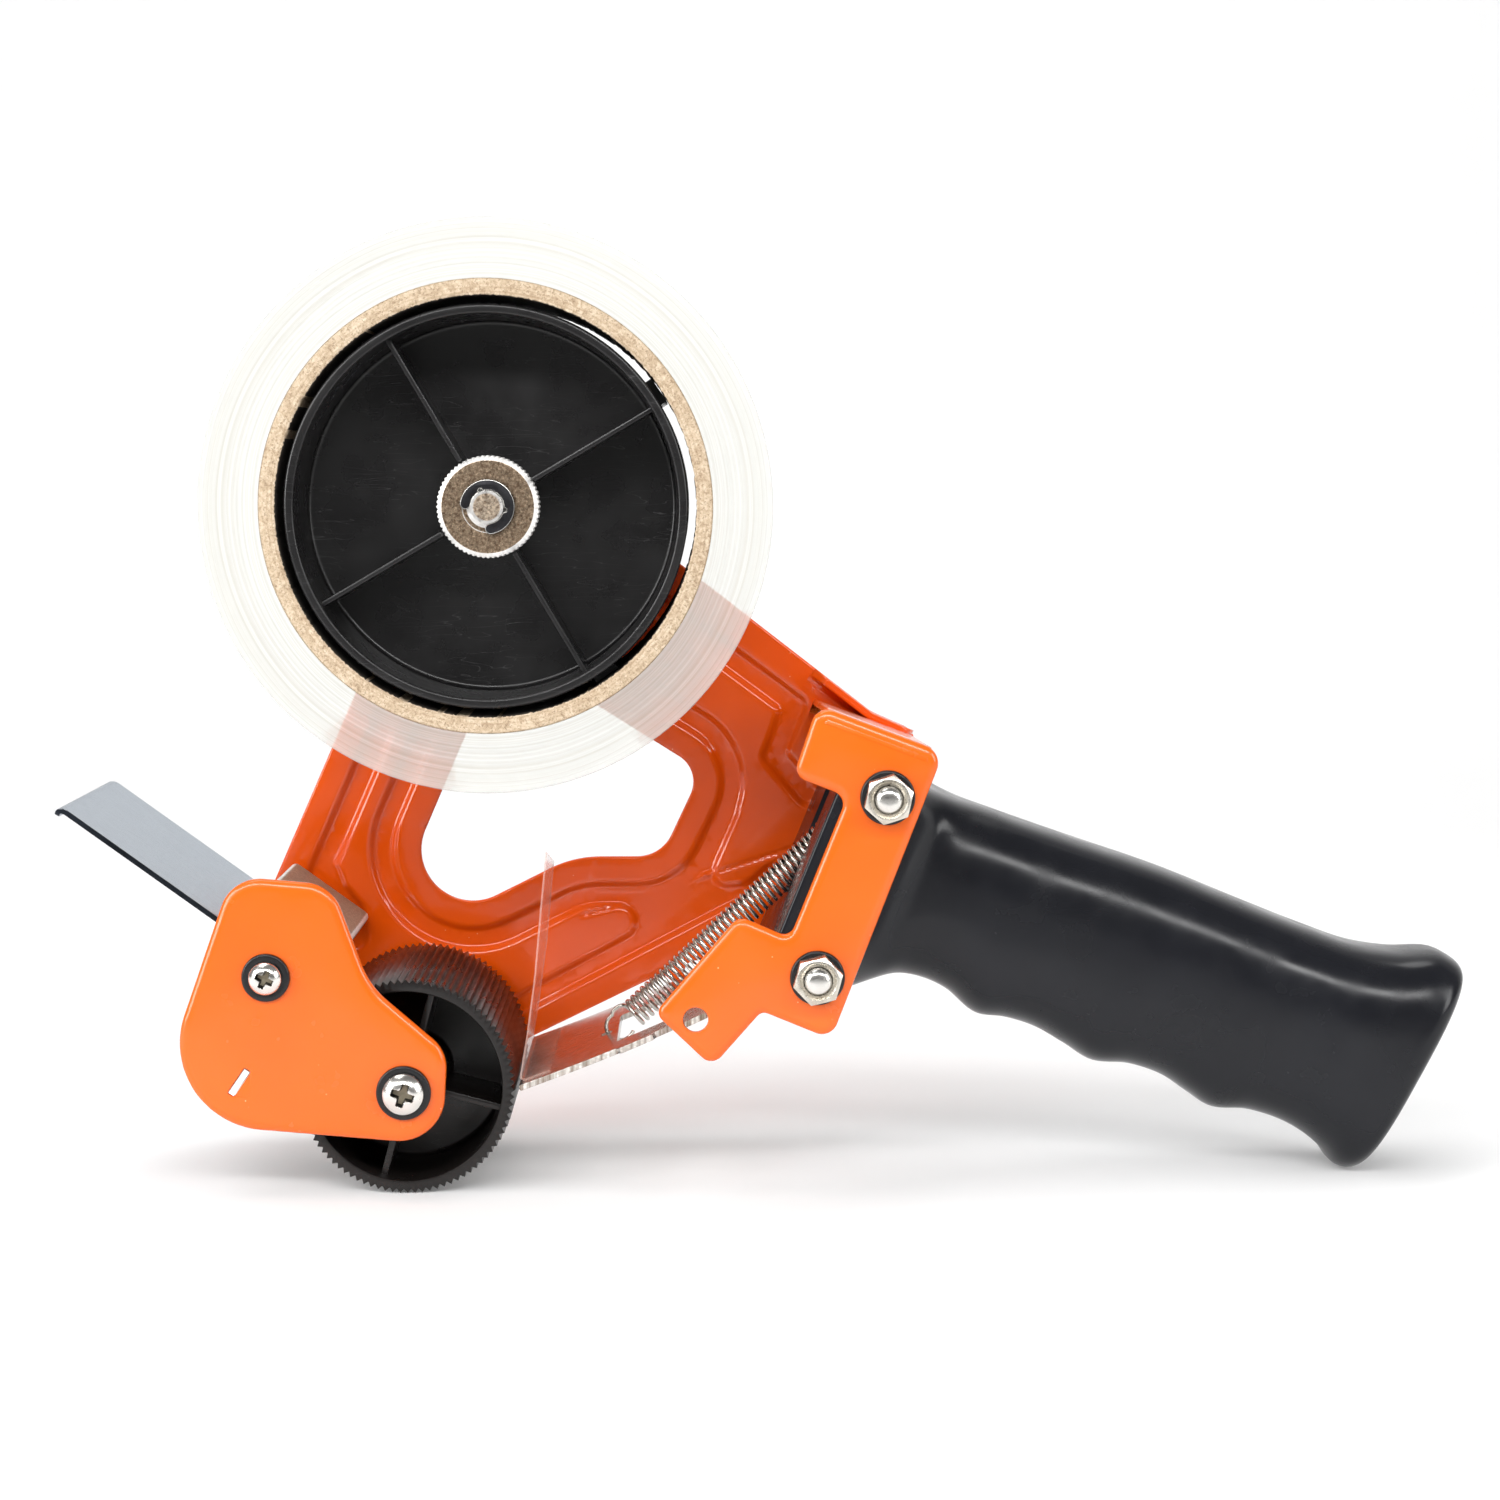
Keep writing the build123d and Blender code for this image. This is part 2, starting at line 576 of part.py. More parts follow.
def roller():
    """Toothed plastic roller, hollow from both ends down to a middle web, with four ribs each side."""
    wheel = slab(toothed(ROLLER_AXIS, ROLLER_TIP_R, ROLLER_ROOT_R, ROLLER_TEETH), -ROLLER_HALF, ROLLER_HALF)
    recess = disc(ROLLER_AXIS, ROLLER_RIM_IN_R) - disc(ROLLER_AXIS, ROLLER_BOSS_R)
    wheel -= slab(recess, -ROLLER_HALF, ROLLER_WEB[0])
    wheel -= slab(recess, ROLLER_WEB[1], ROLLER_HALF)
    rib_end = ROLLER_HALF - ROLLER_RIB_INSET
    rib_from, rib_to = ROLLER_BOSS_R - MERGE, ROLLER_RIM_IN_R + MERGE
    for near, far in ((-rib_end, ROLLER_WEB[0] + MERGE), (ROLLER_WEB[1] - MERGE, rib_end)):
        wheel += spokes(ROLLER_AXIS, rib_from, rib_to, ROLLER_RIB_TURN, ROLLER_RIB, near, far)
    return wheel - rod(ROLLER_AXIS, AXLE_R + RUNNING, -ROLLER_HALF, ROLLER_HALF)


save("roller", roller())

# ------------------------------------------------------------------ guard body
EAR_LOW = -4.5
FLAP_NARROW_U = -10.4
FLAP_ROOT = -3.0
SHELF_END = -2.6
FLAP_RIVETS = (-15.0, 0.0, 15.0)


def guard_bracket():
    """Box bent from sheet: top, rear flange, front flange with an inward shelf, and an ear at each end."""
    top = make_face(Polyline(
        (BOX_FRONT, BOX_TOP), (BOX_REAR, BOX_TOP), (BOX_REAR, 3.6), (BOX_REAR - GUARD_SHEET, 3.6),
        (BOX_REAR - GUARD_SHEET, BOX_TOP - GUARD_SHEET), (BOX_FRONT + GUARD_SHEET, BOX_TOP - GUARD_SHEET),
        (BOX_FRONT + GUARD_SHEET, FLAP_TOP + GUARD_SHEET), (SHELF_END, FLAP_TOP + GUARD_SHEET),
        (SHELF_END, FLAP_TOP), (BOX_FRONT, FLAP_TOP), close=True,
    ))
    channel = slab(guard_local(top), -BRACKET_HALF, BRACKET_HALF)
    ear = outline([
        (BOX_FRONT, BOX_TOP, 0.8), (BOX_REAR, BOX_TOP, 0.8), (BOX_REAR, 2.0, 3), (4.4, EAR_LOW, 4),
        (-4.4, EAR_LOW, 4), (BOX_FRONT, FLAP_TOP, 1),
    ])
    ear = guard_local(ear) - disc(GUARD_AXIS, PIN_R + RUNNING)
    for near in (-BRACKET_HALF, BRACKET_HALF - GUARD_SHEET):
        channel += slab(ear, near, near + GUARD_SHEET)
    return channel


def guard_flap():
    """Long spring-steel flap with a curled tip, narrowed where it enters the bracket."""
    tip = make_face(Polyline(
        (FLAP_TIP + 1.2, FLAP_TOP), (FLAP_ROOT, FLAP_TOP), (FLAP_ROOT, FLAP_TOP - GUARD_SHEET),
        (FLAP_TIP + 2.2, FLAP_TOP - GUARD_SHEET), (FLAP_TIP + 1.2, FLAP_TOP - 2.4),
        (FLAP_TIP, FLAP_TOP - 2.0), (FLAP_TIP, FLAP_TOP - 1.0), close=True,
    ))
    wide = slab(guard_local(tip), -FLAP_HALF, FLAP_HALF)
    inner = BRACKET_HALF - GUARD_SHEET - 0.4
    for near, far in ((-FLAP_HALF, -inner), (inner, FLAP_HALF)):
        notch = Pos((FLAP_NARROW_U + 2) / 2, FLAP_TOP) * Rectangle(2 - FLAP_NARROW_U, 6)
        wide -= slab(guard_local(notch), near, far)
    return wide


def flap_rivets():
    """Rivets down through the bracket's shelf and the flap."""
    u = (BOX_FRONT + SHELF_END) / 2 - 0.2
    x, z = along(GUARD_AXIS, -GUARD_SLOPE, u, FLAP_TOP + GUARD_SHEET)
    up = (sin(radians(GUARD_SLOPE)), 0, cos(radians(GUARD_SLOPE)))
    return [extrude(Plane(origin=(x, y, z), z_dir=up) * Circle(1.6), 0.8) for y in FLAP_RIVETS]


save("guard_bracket", guard_bracket())
save("guard_flap", guard_flap())
save("flap_rivets", *flap_rivets())

# ------------------------------------------------------------------ tension plate body
EAR = (-28.4, -21.9)
EAR_REACH = 1.2
STRIP_WINDOW = ((-28.4, -17.5), (-19.0, 10.4))
HOOK_SLIT = ((-31.7, -5.2), (-29.7, -2.8))
FILM_TOP_NEAR = 63.3
FILM_TOP_FAR = 56.2
FILM_RISE = [(-45.0, 29.0), (-43.5, 40.0), (-42.4, 52.0), (-41.2, 64.0)]


def strip_path():
    """Side-view centre line of the plate: straight at the pivot, a slow arc, straight at the toe."""
    heel = along(PIVOT, STRIP_ANGLE, TONGUE / 2)
    knee = along(PIVOT, STRIP_ANGLE, -TONGUE / 2)
    down = (-cos(radians(STRIP_ANGLE)), -sin(radians(STRIP_ANGLE)))
    arc = TangentArc(knee, STRIP_BEND_END, tangent=down)
    toe_direction = arc % 1
    toe = (STRIP_BEND_END[0] + toe_direction.X * STRIP_TOE, STRIP_BEND_END[1] + toe_direction.Y * STRIP_TOE)
    return Line(heel, knee) + arc + Line(STRIP_BEND_END, toe), toe_direction, toe


def tension_plate():
    """Retaining plate under the tape path: tongues in the side plates, ears, and openings for the spring."""
    path, toe_direction, toe = strip_path()
    ear_tip = -STRIP_HALF - EAR_REACH
    half = [
        (-60, -STRIP_HALF), (EAR[0], -STRIP_HALF), (EAR[0] + 1, ear_tip), (EAR[1], ear_tip),
        (EAR[1] + 1, -STRIP_HALF), (0, -STRIP_HALF),
    ]
    footprint = half + [(x, -y) for x, y in reversed(half)]
    strip = slab(trace(path, STRIP), -PLATE_BACK, PLATE_BACK) & plan(footprint)
    tongue = Pos(*PIVOT) * Rot(0, 0, STRIP_ANGLE) * Rectangle(TONGUE, STRIP)
    strip += slab(tongue, -TAB_REACH, TAB_REACH)
    return strip - plan_box(*STRIP_WINDOW) - plan_box(*HOOK_SLIT)


def retaining_film():
    """Clear springy sheet bonded on the toe of the plate and standing up behind the roller."""
    path, toe_direction, toe = strip_path()
    lift = (STRIP + FILM) / 2
    normal = (toe_direction.Y * lift, -toe_direction.X * lift)
    foot_back = (STRIP_BEND_END[0] + normal[0], STRIP_BEND_END[1] + normal[1])
    foot_front = (toe[0] + normal[0] - toe_direction.X * 0.3, toe[1] + normal[1] - toe_direction.Y * 0.3)
    rise = FilletPolyline(foot_back, foot_front, *FILM_RISE, radius=[0.6, 30, 60, 60])
    sheet = slab(trace(rise, FILM), -FILM_HALF, FILM_HALF)
    side = Polyline(
        (-FILM_HALF, 0), (FILM_HALF, 0), (FILM_HALF, FILM_TOP_FAR), (-FILM_HALF, FILM_TOP_NEAR), close=True
    )
    keep = extrude(Plane.YZ.offset(-60) * make_face(side), 60)
    return sheet & keep


save("tension_plate", tension_plate())
save("retaining_film", retaining_film())
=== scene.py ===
import json
import math

import bmesh
import bpy
import numpy as np
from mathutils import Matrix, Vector
from mathutils.geometry import delaunay_2d_cdt


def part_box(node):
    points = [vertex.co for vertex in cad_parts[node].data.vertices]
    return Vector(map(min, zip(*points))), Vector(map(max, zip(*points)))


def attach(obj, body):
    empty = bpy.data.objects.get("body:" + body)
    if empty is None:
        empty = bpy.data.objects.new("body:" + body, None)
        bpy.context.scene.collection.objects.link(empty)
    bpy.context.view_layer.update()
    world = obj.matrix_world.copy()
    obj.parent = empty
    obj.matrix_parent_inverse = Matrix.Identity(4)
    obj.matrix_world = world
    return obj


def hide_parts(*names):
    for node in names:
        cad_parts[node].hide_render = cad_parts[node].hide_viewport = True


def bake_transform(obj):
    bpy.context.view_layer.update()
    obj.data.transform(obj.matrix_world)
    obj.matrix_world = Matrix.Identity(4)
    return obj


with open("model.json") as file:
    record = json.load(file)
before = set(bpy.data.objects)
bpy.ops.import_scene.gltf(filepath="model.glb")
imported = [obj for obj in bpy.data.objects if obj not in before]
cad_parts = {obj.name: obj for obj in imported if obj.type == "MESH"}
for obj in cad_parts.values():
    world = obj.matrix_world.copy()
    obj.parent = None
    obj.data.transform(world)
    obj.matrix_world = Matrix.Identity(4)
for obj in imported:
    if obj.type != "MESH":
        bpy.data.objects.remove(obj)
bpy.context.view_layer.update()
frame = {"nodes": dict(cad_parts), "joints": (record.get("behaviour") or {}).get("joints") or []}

# A hand-held tape gun, dressed around its CAD frame. Lengths are millimetres until a mesh is made.
# X runs along the gun, Z is up and Y is across the tape, with the open loading side at -Y.

MM = 0.001


# ---- places read from the frame
def joint_axis(name):
    """Side-view point (x, z) of a joint."""
    joint = next(j for j in frame["joints"] if j["name"] == name)
    x, y, z = joint["pos_m"]
    return np.array((x, z)) / MM


def box_mm(node):
    low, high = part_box(node)
    return np.array(low) / MM, np.array(high) / MM


HUB = joint_axis("hub_spin")
ROLLER = joint_axis("roller_spin")
GUARD = joint_axis("guard_hinge")
PIVOT = joint_axis("tension_hinge")

PLATE_FACE = -box_mm("front_cover_plate")[0][1]
SHEET = 1.5
PLATE_BACK = PLATE_FACE - SHEET
WASHER = 1.0
LOCK_WASHER = 1.2
LOCK_WASHER_R = 4.2
WASHER_R = 5.0
GUARD_WASHER_R = 4.4
_low, _high = box_mm("nut_washers")
LOWER_BOLT = np.array((_low[0] + WASHER_R, _low[2] + WASHER_R))
UPPER_BOLT = np.array((_high[0] - WASHER_R, _high[2] - WASHER_R))
BOLT_END = -box_mm("handle_bolts")[0][1]
BOLT_R = 2.5
BOLT_HOLE_R = 2.6
PIVOT_HOLE_R = 2.3
SCREW_HOLE_R = 1.6
AXLE_R = 3.0
NUT_FLATS = 8.0
NUT_HEIGHT = 4.0
TAPE_HALF = box_mm("tape_winding")[1][1]
TAPE_R = (box_mm("tape_winding")[1][2] - box_mm("tape_winding")[0][2]) / 2
CORE_R = (box_mm("tape_core")[1][2] - box_mm("tape_core")[0][2]) / 2
CORE_BORE_R = 38.1


# ---- plane geometry
def rounded(corners, step=0.7):
    """Closed loop of points from (x, z, corner radius) triples."""
    points = []
    for i, (x, z, radius) in enumerate(corners):
        here = np.array((x, z), float)
        before = np.array(corners[i - 1][:2]) - here
        after = np.array(corners[(i + 1) % len(corners)][:2]) - here
        before /= np.linalg.norm(before)
        after /= np.linalg.norm(after)
        if radius == 0:
            points.append(here)
            continue
        half = math.acos(max(-1.0, min(1.0, before @ after))) / 2
        start = here + before * radius / math.tan(half)
        end = here + after * radius / math.tan(half)
        centre = here + (before + after) / np.linalg.norm(before + after) * radius / math.sin(half)
        first = math.atan2(start[1] - centre[1], start[0] - centre[0])
        sweep = math.atan2(end[1] - centre[1], end[0] - centre[0]) - first
        sweep = (sweep + math.pi) % (2 * math.pi) - math.pi
        count = max(3, math.ceil(abs(sweep) * radius / step))
        points += [polar(centre, radius, first + sweep * t) for t in np.linspace(0, 1, count + 1)]
    return np.array(points)


def divided(loop, spacing):
    """The loop with its long straight runs divided."""
    points = []
    for here, there in zip(loop, np.roll(loop, -1, 0)):
        count = max(1, math.ceil(np.linalg.norm(there - here) / spacing))
        for t in np.arange(count) / count:
            points.append(here + (there - here) * t)
    return np.array(points)


def turning(loop):
    """Twice the signed area: positive when the loop runs anticlockwise."""
    x, z = loop[:, 0], loop[:, 1]
    return float(np.sum(x * np.roll(z, -1) - np.roll(x, -1) * z))


def offset_loop(loop, distance):
    """The loop moved outwards (or inwards, when negative) along its own normals."""
    ahead = np.roll(loop, -1, 0) - loop
    ahead /= np.maximum(np.linalg.norm(ahead, axis=1, keepdims=True), 1e-9)
    mean = ahead + np.roll(ahead, 1, 0)
    mean /= np.maximum(np.linalg.norm(mean, axis=1, keepdims=True), 1e-9)
    normal = np.stack((mean[:, 1], -mean[:, 0]), 1) * math.copysign(1, turning(loop))
    return loop + normal * distance


def polar(centre, radius, angle):
    """Side-view point at an angle round a centre."""
    return np.array(centre) + radius * np.array((math.cos(angle), math.sin(angle)))


def circle(centre, radius, count=48):
    angles = np.linspace(0, 2 * math.pi, count, endpoint=False)
    return np.array(centre) + radius * np.stack((np.cos(angles), np.sin(angles)), 1)


def segments_of(path, closed):
    ends = np.roll(path, -1, 0) if closed else path[1:]
    return zip(path[: len(ends)], ends)


def distance_to(points, path, closed=True):
    best = np.full(len(points), 1e9)
    for a, b in segments_of(path, closed):
        run = b - a
        length2 = float(run @ run)
        if length2 == 0:
            continue
        t = np.clip((points - a) @ run / length2, 0, 1)
        gap = points - a - t[:, None] * run
        best = np.minimum(best, np.einsum("ij,ij->i", gap, gap))
    return np.sqrt(best)


def inside(points, loop):
    x, z = points[:, 0], points[:, 1]
    odd = np.zeros(len(points), bool)
    for a, b in segments_of(loop, True):
        crosses = (a[1] > z) != (b[1] > z)
        if crosses.any():
            at = a[0] + (z - a[1]) * (b[0] - a[0]) / (b[1] - a[1] + 1e-12)
            odd ^= crosses & (x < at)
    return odd


def depth_in(points, loop):
    """Distance inside a loop; negative outside it."""
    return np.where(inside(points, loop), 1, -1) * distance_to(points, loop)


def hex_grid(low, high, spacing):
    rows = np.arange(low[1], high[1], spacing * 0.866)
    points = []
    for i, z in enumerate(rows):
        xs = np.arange(low[0] + (i % 2) * spacing / 2, high[0], spacing)
        points.append(np.stack((xs, np.full_like(xs, z)), 1))
    return np.concatenate(points)


def smooth_step(value, low, high):
    t = np.clip((value - low) / (high - low), 0, 1)
    return t * t * (3 - 2 * t)


# ---- meshes
def mesh_from(name, shapes):
    """One mesh from closed shapes, each given as (points in millimetres, faces)."""
    verts, faces = [], []
    for points, polygons in shapes:
        faces += [tuple(int(i) + len(verts) for i in polygon) for polygon in polygons]
        verts += (np.asarray(points, float) * MM).tolist()
    mesh = bpy.data.meshes.new(name)
    mesh.from_pydata(verts, [], faces)
    bm = bmesh.new()
    bm.from_mesh(mesh)
    bmesh.ops.remove_doubles(bm, verts=bm.verts, dist=1e-8)
    bmesh.ops.recalc_face_normals(bm, faces=bm.faces)
    bm.to_mesh(mesh)
    bm.free()
    return mesh


def shade(mesh, sharp):
    """Smooth shading, with creases where faces meet at more than sharp degrees."""
    mesh.polygons.foreach_set("use_smooth", np.ones(len(mesh.polygons), bool))
    mesh.set_sharp_from_angle(angle=math.radians(sharp))


def placed(name, data):
    """A new object in the scene."""
    thing = bpy.data.objects.new(name, data)
    bpy.context.scene.collection.objects.link(thing)
    return thing


def make(name, shapes, finish, node, sharp, body="frame"):
    """A finished piece that stands for a CAD node and rides on a body."""
    mesh = mesh_from(name, shapes)
    shade(mesh, sharp)
    mesh.materials.append(finish)
    piece = placed(name, mesh)
    if body:
        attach(piece, body)
    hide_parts(node)
    return piece


def recolour(piece, finish, chosen):
    """Gives a second finish to the faces that chosen(middle in mm, normal) picks."""
    piece.data.materials.append(finish)
    number = len(piece.data.materials) - 1
    for face in piece.data.polygons:
        if chosen(np.array(face.center) / MM, face.normal):
            face.material_index = number


def off_hub(at):
    """Distance of a point from the hub's axis."""
    return math.hypot(at[0] - HUB[0], at[2] - HUB[1])


def across(points, heights):
    """Side-view points at given Y positions."""
    return np.stack((points[:, 0], heights, points[:, 1]), 1)


def sheet(loops, near, far, spacing, rows, place=across, active=None, fine=0.5):
    """Closed sheet between two height fields over an outline with holes.

    loops[0] is the outline and the rest are holes. near and far give the two surfaces from (points, edge
    distance); rows are the distances from the edges that get their own rows of points; active picks the
    points that lie on relief and need the fine grid.
    """
    loops = [loop if (turning(loop) > 0) == (i == 0) else loop[::-1] for i, loop in enumerate(loops)]
    outer = loops[0]

    def kept(points, margin):
        ok = depth_in(points, outer) > margin
        for hole in loops[1:]:
            ok &= depth_in(points, hole) < -margin
        return points[ok]

    sets = list(loops)
    for row in rows:
        for i, loop in enumerate(loops):
            sets.append(kept(offset_loop(loop, -row if i == 0 else row), row * 0.93))
    grid = hex_grid(outer.min(0), outer.max(0), spacing)
    if active is not None:
        dense = hex_grid(outer.min(0), outer.max(0), fine)
        grid = np.concatenate((grid[~active(grid)], dense[active(dense)]))
    sets.append(kept(grid, rows[-1] + 0.3 * (fine if active is not None else spacing)))
    points = np.concatenate(sets)
    edges, start = [], 0
    for loop in loops:
        count = len(loop)
        edges += [(start + i, start + (i + 1) % count) for i in range(count)]
        start += count
    found, _, triangles, sources, _, _ = delaunay_2d_cdt([Vector(p) for p in points], edges, [], 0, 1e-5)
    flat = np.array([tuple(p) for p in found])
    target = {}
    for out, origins in enumerate(sources):
        for origin in origins:
            target[origin] = out
    triangles = np.array(triangles)
    middle = flat[triangles].mean(1)
    ok = inside(middle, outer)
    for hole in loops[1:]:
        ok &= ~inside(middle, hole)
    triangles = triangles[ok]
    edge = np.min([distance_to(flat, loop) for loop in loops], 0)
    edge[list({target[i] for i in range(start)})] = 0
    verts = np.concatenate((place(flat, near(flat, edge)), place(flat, far(flat, edge))))
    count = len(flat)
    faces = [tuple(t) for t in triangles] + [tuple(t[::-1] + count) for t in triangles]
    for a, b in edges:
        i, j = target[a], target[b]
        if i != j:
            faces.append((j, i, i + count, j + count))
    used = sorted({i for face in faces for i in face})
    index = {old: new for new, old in enumerate(used)}
    return verts[used], [tuple(index[i] for i in face) for face in faces]


def edge_drop(edge, width, depth=None):
    """How far a rounded edge falls away from the surface at a distance from the edge."""
    depth = width if depth is None else depth
    t = np.clip(1 - edge / width, 0, 1)
    return depth * (1 - np.sqrt(1 - t * t))


def round_rows(width):
    return tuple(width * (1 - math.cos(math.radians(a))) for a in (20, 40, 60, 90))


def lofted(rings, closed=False):
    """Skin over rings of equally many points: capped at both ends, or joined into a loop."""
    count, size = len(rings), len(rings[0])
    faces = []
    for r in range(count if closed else count - 1):
        near, far = r * size, (r + 1) % count * size
        faces += [(near + k, near + (k + 1) % size, far + (k + 1) % size, far + k) for k in range(size)]
    if not closed:
        faces += [tuple(range(size)), tuple(range((count - 1) * size, count * size))[::-1]]
    return np.concatenate(rings), faces


def unchanged(radius, y, angle):
    return radius, y


def turned(profile, centre, count=96, reshape=unchanged, first=0.0):
    """Closed ring swept round an axis along Y, from a first angle.

    profile is a closed loop of (radius, y). reshape gives a point's new (radius, y) from its old ones and the
    angle past the first.
    """
    rings = []
    for angle in np.linspace(0, 2 * math.pi, count, endpoint=False):
        ring = [reshape(radius, y, angle) for radius, y in profile]
        c, s = math.cos(angle + first), math.sin(angle + first)
        rings.append([(centre[0] + r * c, y, centre[1] + r * s) for r, y in ring])
    return lofted(rings, True)


def capped(profile, centre, count=96, reshape=unchanged, first=0.0):
    """Solid of revolution whose profile starts and ends on the axis."""
    verts, faces = turned(profile[1:-1], centre, count, reshape, first)
    size = len(profile) - 2
    faces = [face for number, face in enumerate(faces) if number % size < size - 1]
    for i in range(count):
        here, there = i * size, (i + 1) % count * size
        faces += [(len(verts), here, there), (len(verts) + 1, there + size - 1, here + size - 1)]
    poles = [(centre[0], y, centre[1]) for y in (profile[0][1], profile[-1][1])]
    return np.concatenate((verts, poles)), faces


def prism(loop, y_near, y_far, rim=0.2, place=across):
    """Extrusion across Y of a side-view loop, with rounded ends."""
    loop = loop if turning(loop) > 0 else loop[::-1]
    steps = [(rim, 0), (rim * 0.3, rim * 0.3), (0, rim)]
    levels = [(inset, y_near + along) for inset, along in steps]
    levels += [(inset, y_far - along) for inset, along in steps[::-1]]
    return lofted([place(offset_loop(loop, -inset), np.full(len(loop), y)) for inset, y in levels])


def swept(path, radius, sides=10):
    """Round wire along a path of 3-D points, closed at its ends."""
    path = np.asarray(path, float)
    tangent = np.gradient(path, axis=0)
    tangent /= np.linalg.norm(tangent, axis=1, keepdims=True)
    side = np.cross(tangent[0], (0.3, 0.9, 0.2))
    rings = []
    for point, ahead in zip(path, tangent):
        side = side - ahead * (side @ ahead)
        side /= np.linalg.norm(side)
        other = np.cross(ahead, side)
        angles = 2 * math.pi * np.arange(sides) / sides
        rings.append(point + radius * (np.outer(np.cos(angles), side) + np.outer(np.sin(angles), other)))
    return lofted(rings)


# ---- materials
class Finish:
    """A Principled material with a few node helpers."""

    def __init__(self, name, **sockets):
        self.material = bpy.data.materials.new(name)
        self.material.use_nodes = True
        self.tree = self.material.node_tree
        self.shader = self.tree.nodes["Principled BSDF"]
        for socket, value in sockets.items():
            self.shader.inputs[socket.replace("_", " ")].default_value = value
        self.place = self.node("ShaderNodeTexCoord").outputs["Object"]

    def link(self, output, target):
        self.tree.links.new(output, target)

    def node(self, kind, inputs=(), **values):
        """A new node. inputs maps its sockets to plain values or to the outputs of other nodes."""
        node = self.tree.nodes.new(kind)
        for key, value in values.items():
            setattr(node, key, value)
        for socket, value in dict(inputs).items():
            if isinstance(value, bpy.types.NodeSocket):
                self.link(value, node.inputs[socket])
            else:
                node.inputs[socket].default_value = value
        return node

    def scaled(self, x, y, z, turn=(0, 0, 0)):
        return self.node("ShaderNodeMapping", {
            "Scale": (x, y, z), "Rotation": turn, "Vector": self.place,
        }).outputs["Vector"]

    def noise(self, scale, detail=3.0, rough=0.5, where=None, distort=0.0):
        return self.node("ShaderNodeTexNoise", {
            "Scale": scale, "Detail": detail, "Roughness": rough, "Distortion": distort,
            "Vector": where or self.place,
        }).outputs["Fac"]

    def cells(self, scale):
        return self.node("ShaderNodeTexVoronoi", {"Scale": scale, "Vector": self.place}).outputs["Distance"]

    def ramp(self, value, *stops):
        ramp = self.node("ShaderNodeValToRGB", {"Fac": value})
        while len(ramp.color_ramp.elements) < len(stops):
            ramp.color_ramp.elements.new(0.5)
        for element, (position, colour) in zip(ramp.color_ramp.elements, stops):
            element.position = position
            element.color = (*colour, 1)
        return ramp.outputs["Color"]

    def grey(self, value, *stops):
        return self.ramp(value, *[(position, (level,) * 3) for position, level in stops])

    def mix(self, factor, first, second, blend="MIX"):
        mix = self.node("ShaderNodeMix", {0: factor}, data_type="RGBA", blend_type=blend)
        for socket, colour in zip([s for s in mix.inputs if s.type == "RGBA"], (first, second)):
            if isinstance(colour, tuple):
                socket.default_value = (*colour, 1)
            else:
                self.link(colour, socket)
        return next(s for s in mix.outputs if s.type == "RGBA")

    def colour(self, output):
        self.link(output, self.shader.inputs["Base Color"])

    def roughness(self, value, *stops):
        self.link(self.grey(value, *stops), self.shader.inputs["Roughness"])

    def bump(self, height, distance, strength=1.0):
        """Relief of a given depth in millimetres."""
        relief = {"Strength": strength, "Distance": distance * MM, "Height": height}
        self.link(self.node("ShaderNodeBump", relief).outputs["Normal"], self.shader.inputs["Normal"])


def paint(name, colour, deep, rough):
    """Glossy stoved paint: orange peel, drifting tone and fine dust nibs."""
    finish = Finish(name, Coat_Weight=0.35, Coat_Roughness=0.04, IOR=1.45)
    tone = finish.ramp(finish.noise(38, 2), (0.3, deep), (0.7, colour))
    nibs = finish.grey(finish.cells(420), (0.035, 1), (0.07, 0))
    rare = finish.grey(finish.noise(95, 1), (0.6, 0), (0.66, 1))
    dust = finish.mix(1.0, nibs, rare, "MULTIPLY")
    finish.colour(finish.mix(dust, tone, (0.98, 0.52, 0.25)))
    finish.roughness(finish.noise(160, 3), (0.3, rough), (0.75, rough + 0.09))
    peel = finish.mix(0.12, finish.noise(1100, 2), dust)
    finish.bump(peel, 0.012, 0.16)
    return finish.material


def moulded(name, colour, rough, scuffs=0.5, grain=0.25, ior=1.47):
    """Black moulded plastic: fine grain, drifting gloss and pale hairline scuffs."""
    finish = Finish(name, IOR=ior)
    streaks = finish.noise(150, 1.5, 0.5, finish.scaled(0.5, 0.3, 5.0, (0.4, 0.5, 0.7)), 0.5)
    hairs = finish.grey(streaks, (0.495, 0), (0.5, scuffs), (0.506, 0))
    patch = finish.grey(finish.noise(60, 2), (0.42, 0), (0.62, 1))
    marks = finish.mix(1.0, hairs, patch, "MULTIPLY")
    pale = tuple(c * 3 + 0.045 for c in colour)
    tone = finish.ramp(finish.noise(45, 3), (0.3, colour), (0.8, tuple(c * 1.5 for c in colour)))
    finish.colour(finish.mix(marks, tone, pale))
    finish.roughness(finish.noise(130, 4), (0.3, rough), (0.75, rough + 0.16))
    finish.bump(finish.noise(1500, 2), 0.02, grain)
    return finish.material


def metal(name, colour, dark, rough, speckle=0.0, brushed=None, bump=0.3, tint_scale=120, grain_scale=700,
          **sockets):
    """Plated or bare steel. speckle mottles it; brushed is a stretch of the grain along an axis."""
    finish = Finish(name, **{"Metallic": 1.0, **sockets})
    where = finish.scaled(*brushed) if brushed else None
    grain = finish.noise(grain_scale if not brushed else 260, 4, 0.6, where)
    tone = finish.ramp(finish.noise(tint_scale, 3, 0.6, where), (0.3, dark), (0.62, colour))
    if speckle:
        spots = finish.grey(finish.cells(2 * grain_scale), (0.15, 0.0), (0.5, speckle))
        tone = finish.mix(spots, tone, tuple(c * 0.45 for c in dark))
    finish.colour(tone)
    finish.roughness(grain, (0.25, rough), (0.8, rough + 0.2))
    finish.bump(grain, 0.015, bump)
    return finish.material


